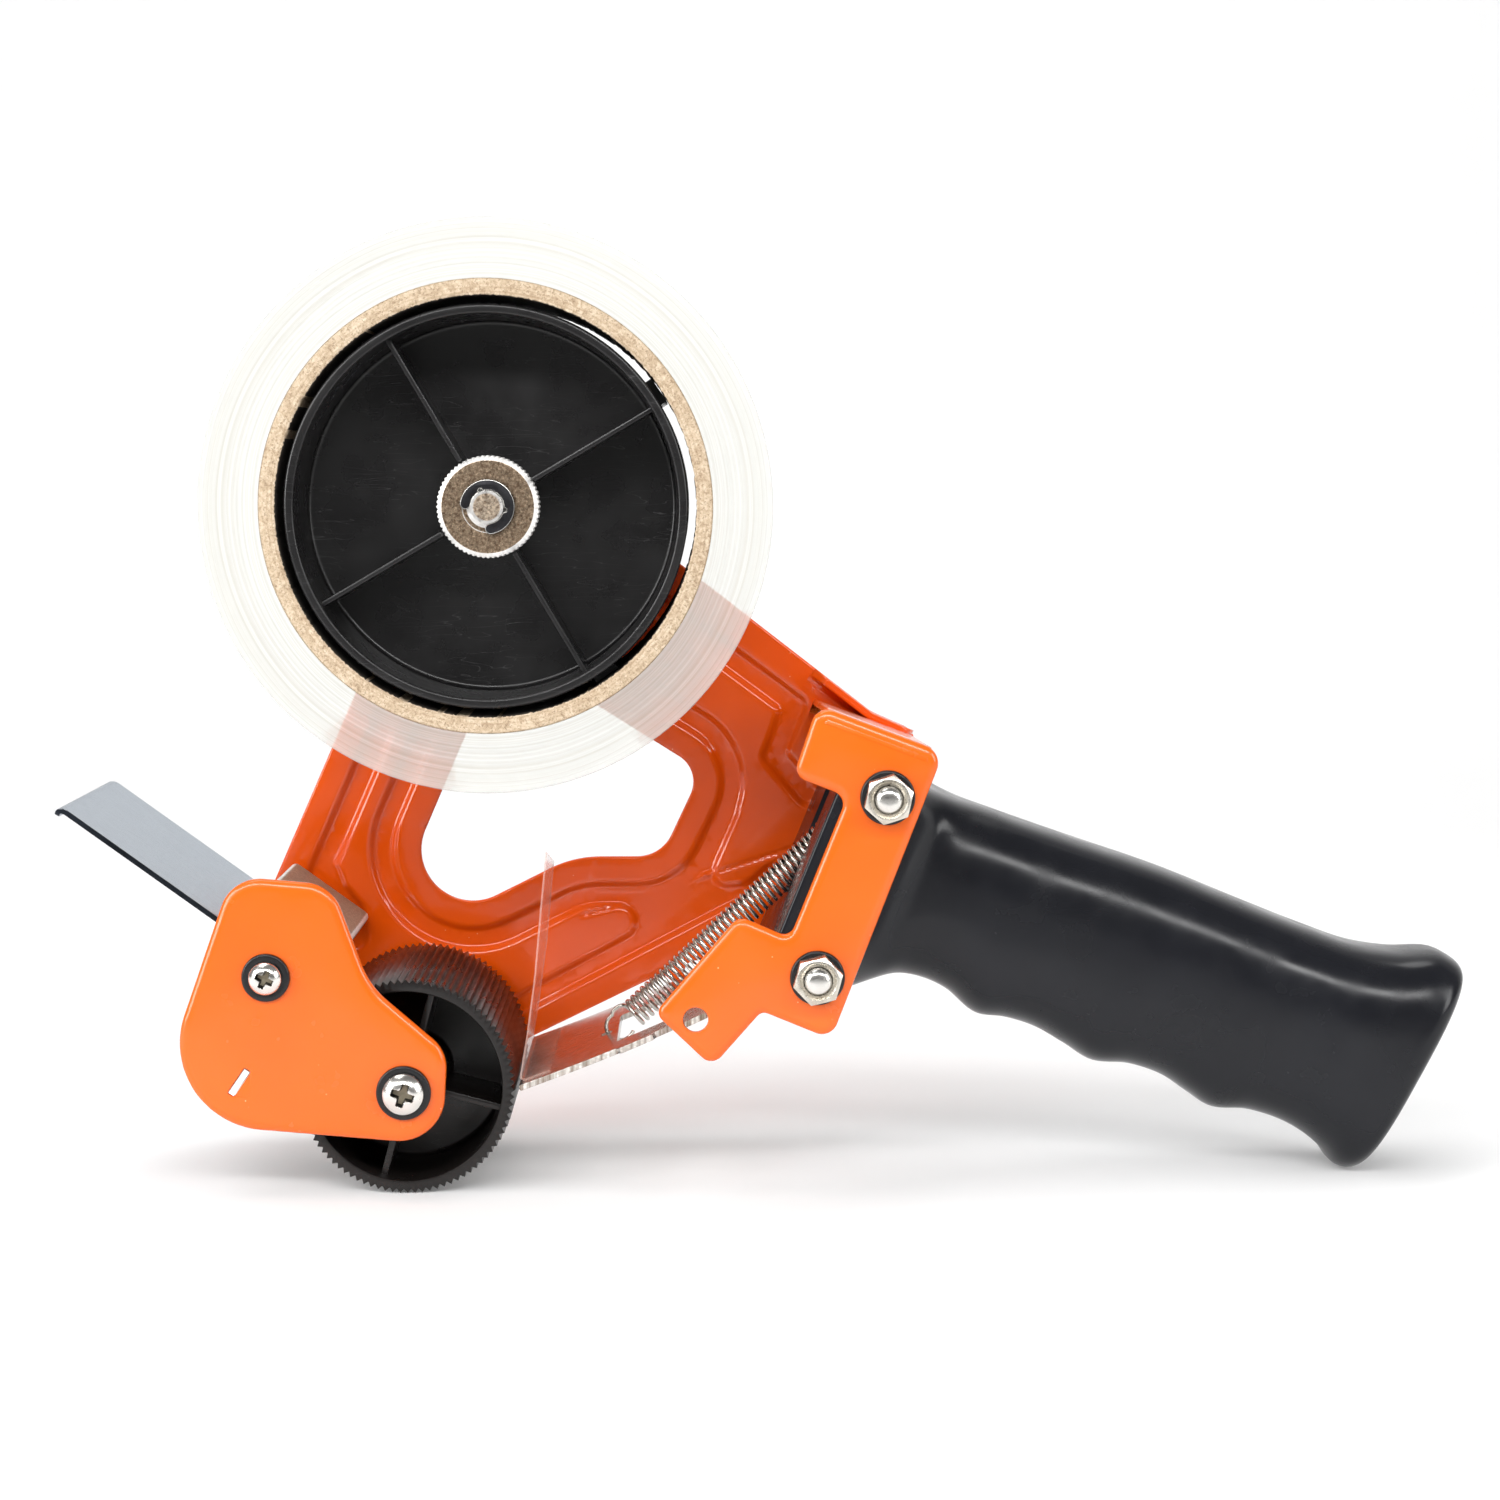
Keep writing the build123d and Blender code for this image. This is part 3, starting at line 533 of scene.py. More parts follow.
def radial(finish, centre, scale=1.0):
    """Distance from a side-view axis, in metres times scale, as a node output."""
    from_axis = finish.node("ShaderNodeMapping", {
        "Location": (-centre[0] * MM * scale, 0, -centre[1] * MM * scale), "Scale": (scale, 0, scale),
        "Vector": finish.place,
    }).outputs["Vector"]
    return finish.node("ShaderNodeVectorMath", {0: from_axis}, operation="LENGTH").outputs["Value"]


def axle_steel_painted_ring():
    """Speckled steel whose end face carries a painted highlight: a pale ring just inside its edge."""
    finish = Finish("axle_steel_painted_ring", Metallic=0.85)
    tone = finish.ramp(finish.noise(2300, 3, 0.6), (0.35, (0.26, 0.17, 0.11)), (0.62, (0.95, 0.78, 0.6)))
    # Painted highlight: a pale ring round the axle end, standing in for the light caught at its rim.
    ring = finish.grey(radial(finish, HUB, 100), (0.235, 0), (0.26, 1))
    finish.colour(finish.mix(ring, tone, (0.95, 0.93, 0.9)))
    finish.roughness(finish.noise(900, 3), (0.3, 0.22), (0.7, 0.4))
    finish.bump(finish.noise(1800, 3), 0.015, 0.8)
    return finish.material


def ring_noise(finish, centre, per_metre, detail, wander):
    """Noise that changes only with distance from an axis: fine concentric lines that wander a little."""
    distance = finish.node("ShaderNodeMath", {
        0: finish.noise(30, 2), 1: wander * MM, 2: radial(finish, centre),
    }, operation="MULTIPLY_ADD").outputs["Value"]
    return finish.node("ShaderNodeTexNoise", {
        "Scale": per_metre, "Detail": detail, "Roughness": 0.65, "W": distance,
    }, noise_dimensions="1D").outputs["Fac"]


def tape_side():
    """Cut edges of clear tape: milky, with fine rings, and partly see-through."""
    finish = Finish("tape_cut_edges", IOR=1.45, Alpha=0.4, Specular_IOR_Level=0.35)
    rings = ring_noise(finish, HUB, 1500, 5, 0.5)
    broad = ring_noise(finish, HUB, 260, 3, 1.0)
    tone = finish.ramp(rings, (0.3, (0.66, 0.66, 0.6)), (0.55, (0.8, 0.81, 0.77)), (0.75, (0.93, 0.95, 0.93)))
    finish.colour(finish.mix(finish.grey(broad, (0.35, 0.25), (0.6, 0.0)), tone, (0.66, 0.62, 0.52)))
    finish.roughness(rings, (0.3, 0.35), (0.7, 0.6))
    finish.bump(rings, 0.06, 0.5)
    return finish.material


def tape_face():
    """Smooth outer turn of the clear tape."""
    finish = Finish("tape_outer_turn", IOR=1.47, Alpha=0.55, Coat_Weight=0.6, Coat_Roughness=0.04)
    streak = finish.noise(120, 3, 0.6, finish.scaled(0.5, 6, 0.5))
    finish.colour(finish.ramp(streak, (0.3, (0.62, 0.57, 0.42)), (0.7, (0.78, 0.74, 0.6))))
    finish.roughness(finish.noise(90, 3), (0.3, 0.1), (0.7, 0.24))
    finish.bump(streak, 0.05, 0.25)
    return finish.material


def cardboard():
    """Pressed paper core: fibres, flecks and wound layers."""
    finish = Finish("core_cardboard", IOR=1.4)
    fibre = finish.noise(900, 6, 0.75, None, 0.6)
    flecks = finish.noise(2600, 3, 0.7)
    layers = ring_noise(finish, HUB, 1700, 3, 0.6)
    tone = finish.ramp(
        fibre, (0.28, (0.32, 0.22, 0.135)), (0.5, (0.57, 0.445, 0.31)), (0.72, (0.78, 0.67, 0.52)),
    )
    tone = finish.mix(finish.grey(flecks, (0.36, 0.65), (0.46, 0.0)), tone, (0.2, 0.125, 0.07))
    finish.colour(finish.mix(finish.grey(layers, (0.38, 0.35), (0.5, 0.0)), tone, (0.33, 0.22, 0.13)))
    finish.roughness(fibre, (0.2, 0.8), (0.8, 0.97))
    finish.bump(fibre, 0.12, 0.8)
    return finish.material


def clear_film():
    """Thin clear plastic with a faint haze."""
    finish = Finish("clear_film", IOR=1.45, Alpha=0.36, Coat_Weight=0.3, Coat_Roughness=0.06)
    haze = finish.noise(80, 4, 0.6, finish.scaled(1, 3, 0.6))
    finish.colour(finish.ramp(haze, (0.3, (0.7, 0.42, 0.34)), (0.7, (0.86, 0.6, 0.52))))
    finish.roughness(haze, (0.3, 0.08), (0.7, 0.22))
    finish.bump(haze, 0.03, 0.2)
    return finish.material


ORANGE = paint("orange_paint_near", (0.88, 0.139, 0.006), (0.82, 0.122, 0.004), 0.2)
# The far plate's paint is a deeper, redder copy of the near orange: painted shade, since both plates are one
# paint.
ORANGE_SHADED = paint("orange_paint_far_shaded", (0.9, 0.102, 0.003), (0.8, 0.084, 0.002), 0.12)
HANDLE_BLACK = moulded("handle_black", (0.0075, 0.008, 0.0105), 0.16, 0.02, 0.08, 1.39)
BLACK = moulded("moulded_black", (0.009, 0.0085, 0.0088), 0.22, 0.9, 0.25)
ROLLER_BLACK = moulded("roller_black", (0.007, 0.0055, 0.005), 0.25, 0.5, 0.25)
RUBBER = moulded("washer_black", (0.007, 0.007, 0.008), 0.2, 0.3, 0.3)
ZINC = metal("zinc_plate", (0.74, 0.73, 0.70), (0.5, 0.49, 0.46), 0.22, 0.15)
BRIGHT = metal("bright_zinc", (0.88, 0.86, 0.82), (0.7, 0.68, 0.64), 0.13, bump=0.1)
NUT_STEEL = metal("nut_steel", (0.8, 0.76, 0.68), (0.58, 0.53, 0.45), 0.2, 0.0, None, 0.15, 260, 1500)
# Painted shade for the floor of the screws' cross recesses.
RECESS_SHADE = metal("cross_recess_shade", (0.34, 0.29, 0.2), (0.2, 0.17, 0.12), 0.35, Metallic=0.3)
NUT_NICKEL = metal("knurled_nickel", (1.0, 0.77, 0.54), (0.3, 0.18, 0.11), 0.22, 0.5, None, 1.0, 2000, 1800)
AXLE_STEEL_PAINTED_RING = axle_steel_painted_ring()
NICKEL = metal(
    "nickel_sheet", (0.56, 0.52, 0.41), (0.26, 0.235, 0.17), 0.26, 0.5, None, 0.8, 1800, 1500,
    Metallic=0.2, Specular_Tint=(0.6, 0.55, 0.45, 1),
)
# Pale satin plate for the blade holder and the brake nut's bright faces; on the guard channel's bends it is a
# painted highlight.
SATIN_AND_HIGHLIGHT = metal("satin_plate_and_highlight", (0.95, 0.94, 0.92), (0.8, 0.78, 0.75), 0.4, tint_scale=300, Metallic=0.35)
SHEARED = metal(
    "sheared_edge", (0.93, 0.9, 0.85), (0.2, 0.13, 0.08), 0.35, 0.3, (7, 0.3, 0.3), 0.8, 170, Metallic=0.3,
)
BLUED = metal("blued_edge", (0.03, 0.035, 0.045), (0.015, 0.017, 0.02), 0.3)
FLAP_STEEL = metal(
    "flap_steel", (0.63, 0.655, 0.69), (0.53, 0.555, 0.59), 0.2, 0.0, (2, 60, 2), 0.15,
    Specular_Tint=(0.66, 0.695, 0.73, 1),
)
BLADE_STEEL = metal("blade_steel", (0.6, 0.6, 0.6), (0.42, 0.42, 0.42), 0.25, 0.0, (40, 2, 40), 0.2)
WIRE = metal("spring_wire", (0.72, 0.69, 0.64), (0.5, 0.47, 0.43), 0.14)
BRUSHED = metal("brushed_strip", (0.7, 0.68, 0.66), (0.5, 0.48, 0.46), 0.17, 0.0, (1.5, 70, 1.5), 0.2)
# Black oxide for the E-clip; on the walls of the screws' cross recesses the same dark finish is painted
# shade.
OXIDE_AND_SHADE = metal("black_oxide_and_shade", (0.055, 0.055, 0.06), (0.03, 0.03, 0.033), 0.35, 0.2)
# Painted shade: near-black for the bore of the core, deep in the gap round the hub.
BORE_SHADE = moulded("core_bore_shade", (0.02, 0.014, 0.01), 0.75, 0.8, 0.8)
TAPE_SIDE = tape_side()
TAPE_FACE = tape_face()
CARD = cardboard()
FILM = clear_film()

# ---- side frame
FRAME_OUTLINE = [
    (-44.2, 135.9, 1), (-62.7, 131.4, 1), (-99.6, 47.6, 14), (-113.0, 14.7, 16), (-66.5, 10.6, 8),
    (-20.6, 33.0, 1.5), (-10.9, 24.3, 2.5), (-1.8, 34.6, 1.5), (10.9, 29.4, 3), (30.6, 81.2, 3.5),
    (21.0, 85.4, 8),
]
WINDOW = [
    (-78.7, 36.3, 10.2), (-38.2, 56.5, 23), (-20.8, 56.5, 7.5), (-12.7, 73.7, 6), (-52.0, 98.3, 9),
]
LOBE_R = 12.0
RING = (5.4, 10.0)
RELIEF = 1.15
STEP = 1.7
FRAME_RIM = 0.45
FIELD = [
    (-46.5, 41.5, 2), (-36.3, 44.8, 6), (-26.2, 47.2, 3), (-26.2, 41.4, 3), (-45.3, 31.1, 8),
    (-54.0, 26.0, 2), (-52.5, 22.6, 2), (-9.9, 45.1, 0), (6.0, 53.0, 4), (3.0, 57.0, 4),
    (-4.0, 51.0, 5), (-10.8, 50.4, 2.4), (-9.8, 54.9, 3), (-5.2, 65.5, 6), (-5.7, 75.0, 4), (-14.0, 66.0, 0),
    (-20.0, 50.0, 0),
]
GROOVE = [
    (-95.0, 38.5), (-88.0, 54.7), (-60.6, 117.5), (-50.0, 125.0), (-38.0, 118.8), (5.6, 86.6), (1.8, 76.6),
]
GROOVE_RADII = (0, 0, 9, 6, 9, 3.2, 0)
GROOVE_TAIL = [(5.6, 86.6), (1.8, 76.6), (8.5, 69.0)]
GROOVE_HALF = 2.4
LOWER_LEFT = [
    (-89.5, 56.5, 1), (-85.0, 54.9, 2), (-83.6, 50.8, 2), (-80.2, 46.6, 3), (-79.0, 38.0, 3),
    (-94.0, 36.0, 3),
]
FLAT_SPOTS = ((GUARD, 6.0), (ROLLER, 8.0), (UPPER_BOLT, 7.0), (LOWER_BOLT, 7.0), (PIVOT, 4.5))
BLADE_SLOT = np.array((-97.2, 21.9))
BLADE_ANGLE = math.radians(55.7)
SLOT_SIZE = (2.85, 0.7)


def open_path(points, radii, step=0.7):
    """Open path with rounded corners."""
    whole = [np.array(points[0], float)]
    for i in range(1, len(points) - 1):
        corner = rounded([(*points[i - 1], 0), (*points[i], radii[i]), (*points[i + 1], 0)], step)
        whole += list(corner[1:-1])
    return np.array([*whole, np.array(points[-1], float)])


WINDOW_LOOP = rounded(WINDOW)
FIELD_LOOP = rounded(FIELD)
GROOVE_PATH = open_path(GROOVE, GROOVE_RADII)
TAIL_PATH = open_path(GROOVE_TAIL, (0, 3.5, 0))
LOWER_LEFT_LOOP = rounded(LOWER_LEFT)
RING_IN = offset_loop(WINDOW_LOOP, RING[0])
RING_OUT = offset_loop(WINDOW_LOOP, RING[1])


def recess_depth_in(points):
    """Signed distance into the pressed recesses of the side frame."""
    ring = np.maximum(depth_in(points, RING_OUT), depth_in(points, FIELD_LOOP))
    ring = np.minimum(ring, -depth_in(points, RING_IN))
    groove = GROOVE_HALF - distance_to(points, GROOVE_PATH, False)
    groove = np.maximum(groove, GROOVE_HALF - distance_to(points, TAIL_PATH, False))
    groove = np.maximum(groove, depth_in(points, LOWER_LEFT_LOOP))
    relief = np.maximum(ring, groove)
    for centre, radius in FLAT_SPOTS:
        relief = np.minimum(relief, np.linalg.norm(points - centre, axis=1) - radius)
    return relief


def pressed(points):
    """Recess depth: a broad curve at the top of each step and a tight one at its foot."""
    t = np.clip(recess_depth_in(points) / STEP + 0.5, 0, 1)
    rise = np.where(t < 0.6, t * t / 1.2, np.where(t < 0.85, t - 0.3, 0.625 - (1 - t) ** 2 / 0.3))
    return RELIEF * rise / 0.625


def on_relief(points):
    return np.abs(recess_depth_in(points)) < STEP / 2 + 0.45


def slot_loop():
    """Slot for the end of the blade holder."""
    ax = polar((0, 0), 1, BLADE_ANGLE)
    side = np.array((-ax[1], ax[0]))
    length, width = SLOT_SIZE
    signs = ((-1, -1), (1, -1), (1, 1), (-1, 1))
    return rounded([(*(BLADE_SLOT + ax * a * length + side * b * width), 0.35) for a, b in signs], 0.2)


def with_lobe(loop):
    """Outline joined with the round lobe that carries the hub axle."""
    lobe = circle(HUB, LOBE_R, 90)
    lobe = lobe[depth_in(lobe, loop) < -0.05]
    outside = np.linalg.norm(loop - HUB, axis=1) > LOBE_R + 0.05
    start = next(i for i in range(len(loop)) if outside[i] and not outside[i - 1])
    kept = np.roll(loop, -start, 0)[np.roll(outside, -start)]
    begin = math.atan2(*(kept[-1] - HUB)[::-1])
    angle = np.arctan2(lobe[:, 1] - HUB[1], lobe[:, 0] - HUB[0])
    order = np.argsort((angle - begin) * math.copysign(1, turning(loop)) % (2 * math.pi))
    return np.concatenate((kept, lobe[order]))


def bolt_holes():
    """Holes for the two handle bolts and the tension plate's tongue."""
    sizes = ((UPPER_BOLT, BOLT_HOLE_R), (LOWER_BOLT, BOLT_HOLE_R), (PIVOT, PIVOT_HOLE_R))
    return [circle(centre, radius, 32) for centre, radius in sizes]


def front_holes():
    """Holes for the two screws at the front and the slot for the blade holder."""
    return [circle(ROLLER, SCREW_HOLE_R, 24), circle(GUARD, SCREW_HOLE_R, 24), slot_loop()]


def side_frame():
    """The pressed far plate and its turned lip."""
    outline = divided(with_lobe(divided(rounded(FRAME_OUTLINE), 1.2)), 1.2)
    holes = [divided(WINDOW_LOOP, 1.2), *front_holes(), *bolt_holes(), circle(HUB, AXLE_R, 32)]
    plate = sheet(
        [outline, *holes],
        lambda p, edge: PLATE_BACK + pressed(p) + edge_drop(edge, FRAME_RIM),
        lambda p, edge: PLATE_FACE + pressed(p) - edge_drop(edge, FRAME_RIM),
        2.0, round_rows(FRAME_RIM), active=on_relief, fine=0.5,
    )
    # The plate and its lip take the shaded copy of the orange paint.
    make("pressed_side_frame", [plate, turned_flange()], ORANGE_SHADED, "side_frame", 50)


FLANGE_LINE = np.array([(9.9, 93.99), (21.0, 85.4), (29.4, 81.72)])
FLANGE_REACH = 3.6
FLANGE_BEND = 1.3


def turned_flange():
    """Lip turned towards the near side along the upper edge; it grows out of the plate in a short scoop."""
    lengths = np.linalg.norm(np.diff(FLANGE_LINE, axis=0), axis=1)
    total = float(lengths.sum())
    marks = np.concatenate(([0], np.cumsum(lengths)))
    bend = [
        (-SHEET - FLANGE_BEND * (1 - math.sin(a)), FLANGE_BEND * (1 - math.cos(a)))
        for a in np.radians(np.arange(0, 91, 15))
    ]
    tip = [
        (-SHEET, 0.93), (-SHEET + 0.12, 0.985), (-SHEET + 0.4, 1.0), (-0.45, 1.0), (-0.12, 0.975), (0, 0.9),
    ]

    def on_line(along):
        return np.array([np.interp(along, marks, FLANGE_LINE[:, i]) for i in (0, 1)])

    rings = []
    scoop, rest = np.linspace(0, FLANGE_REACH, 13), np.linspace(FLANGE_REACH + 0.6, total, 22)
    for along in (*scoop, *rest):
        run = on_line(along + 0.8) - on_line(along - 0.8)
        run /= np.linalg.norm(run)
        out = np.array((-run[1], run[0])) * (1 if run[0] > 0 else -1)
        swell = float(smooth_step(along, -0.6, 3.2)) * float(smooth_step(total - along, -0.4, 1.5))
        reach = 0.02 + (FLANGE_REACH - 0.02) * swell
        section = [(u, PLATE_BACK - min(v, reach)) for u, v in bend]
        section += [(u, PLATE_BACK - reach * t) for u, t in tip]
        section += [(-0.05, PLATE_BACK + 0.6), (-SHEET - FLANGE_BEND, PLATE_BACK + 0.6)]
        section = np.array(section)
        rings.append(across(on_line(along) + np.outer(section[:, 0] - 0.02, out), section[:, 1]))
    return lofted(rings)


# ---- near plates
FRONT_OUTLINE = [
    (-98.2, 59.7, 7.5), (-80.0, 58.1, 7.5), (-73.4, 39.6, 16), (-59.3, 27.4, 7),
    (-60.3, 10.0, 8.5), (-114.0, 14.7, 16),
]
BRACKET_OUTLINE = [
    (8.3, 90.8, 3), (31.3, 82.1, 3.5), (10.9, 29.4, 3), (-1.8, 34.6, 1.5), (-10.9, 24.3, 2.5),
    (-21.4, 34.3, 2), (-6.0, 52.2, 2.5), (3.3, 48.2, 2), (13.7, 74.0, 2.5), (3.9, 77.8, 2.5),
]
TOP_WALL = (np.array((10.4, 90.0)), np.array((29.2, 82.9)))
WALL_DIP = 2.0
WALL_BEND = 2.6
WALL_SHEET = 1.4
RIM_WIDTH = 1.9
RIM_DEPTH = 1.1
CROWN = 0.14


def near_plate(outline, holes, crown_width):
    """Sheet with a drawn-over rim and a faint crown, as a pressing has."""
    outline = divided(outline, 1.0)

    def near(points, edge):
        outer = distance_to(points, outline)
        hole = edge_drop(edge, 0.25) * (edge < outer)
        crown = CROWN * (1 - smooth_step(outer, RIM_WIDTH * 0.5, crown_width))
        return -PLATE_FACE + edge_drop(outer, RIM_WIDTH, RIM_DEPTH) + crown + hole

    rows = (0.06, 0.15, 0.3, 0.55, 0.9, 1.35, RIM_WIDTH)
    return sheet([outline, *holes], near, lambda p, edge: np.full(len(p), -PLATE_BACK), 1.6, rows)


def front_plate():
    """Painted cover in front of the roller."""
    plate = near_plate(rounded(FRONT_OUTLINE, 0.6), front_holes(), 7.0)
    make("front_cover_pressing", [plate], ORANGE, "front_cover_plate", 60)


def bracket_wall():
    """The bracket's top wall: bent off its plate and dipping slightly to the side frame."""
    a, b = TOP_WALL
    length = float(np.linalg.norm(b - a))
    run = (b - a) / length
    down = np.array((run[1], -run[0]))
    bend = [
        (WALL_BEND * (1 - math.sin(t)) - PLATE_FACE, WALL_BEND * (1 - math.cos(t)))
        for t in np.linspace(math.pi / 2, 0, 8)
    ]
    far = PLATE_BACK - 0.05
    line = np.array([*bend, (PLATE_BACK - 0.6, WALL_DIP), (far, WALL_DIP + 0.6), (far, 5.0)])
    tangent = np.gradient(line, axis=0)
    tangent /= np.linalg.norm(tangent, axis=1, keepdims=True)
    inner = line + np.stack((-tangent[:, 1], tangent[:, 0]), 1) * WALL_SHEET
    middle = (line + inner) / 2
    rings = []
    for along in (0.0, 0.12, 0.4, 7.0, 14.0, length - 0.4, length - 0.12, length):
        edge = min(along, length - along)
        shrink = 0.3 * max(0.0, 1 - edge / 0.4) ** 2
        ring = np.concatenate((line + (middle - line) * shrink, (inner + (middle - inner) * shrink)[::-1]))
        rings.append(across(a + run * along + np.outer(ring[:, 1], down), ring[:, 0]))
    return lofted(rings)


def bracket():
    """Painted plate at the handle, with its top wall."""
    plate = near_plate(rounded(BRACKET_OUTLINE, 0.4), bolt_holes(), 6.0)
    make("handle_bracket_pressing", [plate, bracket_wall()], ORANGE, "handle_bracket", 60)


# ---- handle
AXIS_TURN = math.radians(-22.15)
AX = polar((0, 0), 1, AXIS_TURN)
UPWARD = np.array((-AX[1], AX[0]))
GRIP_TOP = [
    (14.0, 80.0), (24.0, 77.9), (31.5, 73.2), (44.3, 68.2), (58.0, 63.4), (74.3, 57.8), (90.5, 51.2),
    (102.6, 46.4), (112.0, 43.1), (120.0, 41.8), (127.4, 41.9), (131.0, 40.2),
]
GRIP_LOW = [
    (-3.4, 37.2), (5.0, 35.0), (17.5, 36.9), (23.7, 38.0), (28.5, 37.3), (33.3, 35.1), (39.2, 30.3),
    (44.6, 29.5), (50.3, 27.7), (56.0, 24.4), (61.2, 21.2), (68.2, 20.5), (74.7, 18.3), (79.6, 15.0),
    (84.0, 12.2), (91.0, 11.6), (99.2, 8.7), (105.8, 3.8), (107.9, 1.0), (110.2, 0.0), (113.0, -1.1),
]
GRIP_START = -17.2
GRIP_END = 104.2
HEAD_HALF = 26.9
GRIP_HALF = 16.0
SHEAR = 0.1
BUTT_ROUND = 3.0
FRONT_ROUND = 0.5
HEAD_POWER, GRIP_POWER = 9, 3
SLEEVE_R = 4.0
SPRING_POCKET = [(-14.0, 43.0, 0), (27.3, 66.5, 1.5), (27.3, 90, 0), (6, 90, 0)]
POCKET_Y = (-9.5, 1.5)


def slant(along, height):
    """How far the slanted butt shifts a point along the handle."""
    return (height - 45.0) * SHEAR * float(smooth_step(along, 75, 100))


def along_grip(point):
    """(distance along the handle, height square to it), with the slant of its butt taken out."""
    a, b = float(np.dot(point, AX)), float(np.dot(point, UPWARD))
    return a - slant(a, b), b


def bulged(value, power):
    """A cosine or sine reshaped so that a circle becomes a squarer oval."""
    return math.copysign(abs(value) ** (2 / power), value)


def curve_through(points, where):
    """Smooth interpolation through (a, b) points (monotone tangents)."""
    a = np.array([p[0] for p in points])
    b = np.array([p[1] for p in points])
    slope = np.diff(b) / np.diff(a)
    tangent = np.concatenate(([slope[0]], (slope[:-1] + slope[1:]) / 2, [slope[-1]]))
    k = np.clip(np.searchsorted(a, where) - 1, 0, len(a) - 2)
    h = a[k + 1] - a[k]
    t = (where - a[k]) / h
    return (
        b[k] * (2 * t**3 - 3 * t**2 + 1) + tangent[k] * h * (t**3 - 2 * t**2 + t)
        + b[k + 1] * (3 * t**2 - 2 * t**3) + tangent[k + 1] * h * (t**3 - t**2)
    )


def handle():
    """Finger-grooved handle lofted from squarish ovals, less the spring's pocket and the bolt holes."""
    butt = GRIP_END - BUTT_ROUND
    stations = np.concatenate((
        [GRIP_START, GRIP_START + 0.1, GRIP_START + 0.4], np.linspace(GRIP_START + 1, butt, 120),
        GRIP_END - BUTT_ROUND * (1 - np.sin(np.radians((15, 30, 45, 60, 72, 82, 90)))),
    ))
    top = curve_through([along_grip(p) for p in GRIP_TOP], stations)
    low = curve_through([along_grip(p) for p in GRIP_LOW], stations)
    rings = []
    for a, t, b in zip(stations, top, low):
        inset = BUTT_ROUND - math.sqrt(max(0.0, BUTT_ROUND**2 - max(0.0, a - butt) ** 2))
        front = max(0.0, FRONT_ROUND - (a - GRIP_START))
        inset += FRONT_ROUND - math.sqrt(max(0.0, FRONT_ROUND**2 - front**2))
        half = HEAD_HALF + (GRIP_HALF - HEAD_HALF) * float(smooth_step(a, -9, 4.5)) - inset
        tall = (t - b) / 2 - inset
        power = HEAD_POWER + (GRIP_POWER - HEAD_POWER) * float(smooth_step(a, -10, 9))
        ring = []
        for angle in np.linspace(0, 2 * math.pi, 96, endpoint=False):
            up = (t + b) / 2 + tall * bulged(math.sin(angle), power)
            x, z = (a + slant(a, up)) * AX + up * UPWARD
            ring.append((x, half * bulged(math.cos(angle), power), z))
        rings.append(ring)
    grip = make("moulded_handle", [lofted(rings)], HANDLE_BLACK, "handle_grip", 40)
    cut(grip, prism(rounded(SPRING_POCKET), *POCKET_Y, 0.01))
    for bolt in (UPPER_BOLT, LOWER_BOLT):
        cut(grip, prism(circle(bolt, SLEEVE_R, 40), -PLATE_FACE - 1.5, PLATE_FACE + 1.5, 0.01))
    shade(grip.data, 40)


def cut(piece, shape):
    """Takes a closed shape out of a piece."""
    tool = placed("cutter", mesh_from("cutter", [shape]))
    step = piece.modifiers.new("cut", "BOOLEAN")
    step.operation = "DIFFERENCE"
    step.solver = "EXACT"
    step.object = tool
    bpy.context.view_layer.update()
    result = bpy.data.meshes.new_from_object(piece.evaluated_get(bpy.context.evaluated_depsgraph_get()))
    piece.modifiers.clear()
    piece.data = result
    bpy.data.objects.remove(tool)


# ---- fasteners
CROSS_ARM = 0.56
CROSS_HALF = 0.17


def hex_block(centre, seat, top, bore, turn_degrees):
    """Chamfered hexagon between two Y positions, seat and top; bore is its hole's radius."""
    out = math.copysign(1, top - seat)
    flat, round_r, beyond = NUT_FLATS / 2, NUT_FLATS / 2 * 0.95, NUT_FLATS

    def chamfered(radius, y, angle):
        if radius < beyond:
            return radius, y
        edge = flat / math.cos(angle % (math.pi / 3) - math.pi / 6)
        fall = (edge - round_r) * math.tan(math.radians(30))
        return edge, (top - out * fall if y == top else seat + out * fall * 0.5)

    profile = [
        (bore, seat), (bore, top - out * 0.85), (bore + 0.95, top), (round_r - 0.08, top),
        (round_r, top - out * 0.03), (beyond, top), (beyond, seat), (round_r, seat),
    ]
    return turned(profile, centre, 96, chamfered, math.radians(turn_degrees))


def thread_profile(y_from, y_to, pitch=0.8, depth=0.42):
    """Profile points of thread crests and roots between two Y positions."""
    way = math.copysign(1, y_to - y_from)
    crest = BOLT_R - 0.03
    points, y = [], y_from
    while (y_to - y) * way > pitch:
        points += [(BOLT_R - depth, y), (crest, y + way * pitch * 0.45), (crest, y + way * pitch * 0.55)]
        y += way * pitch
    return points


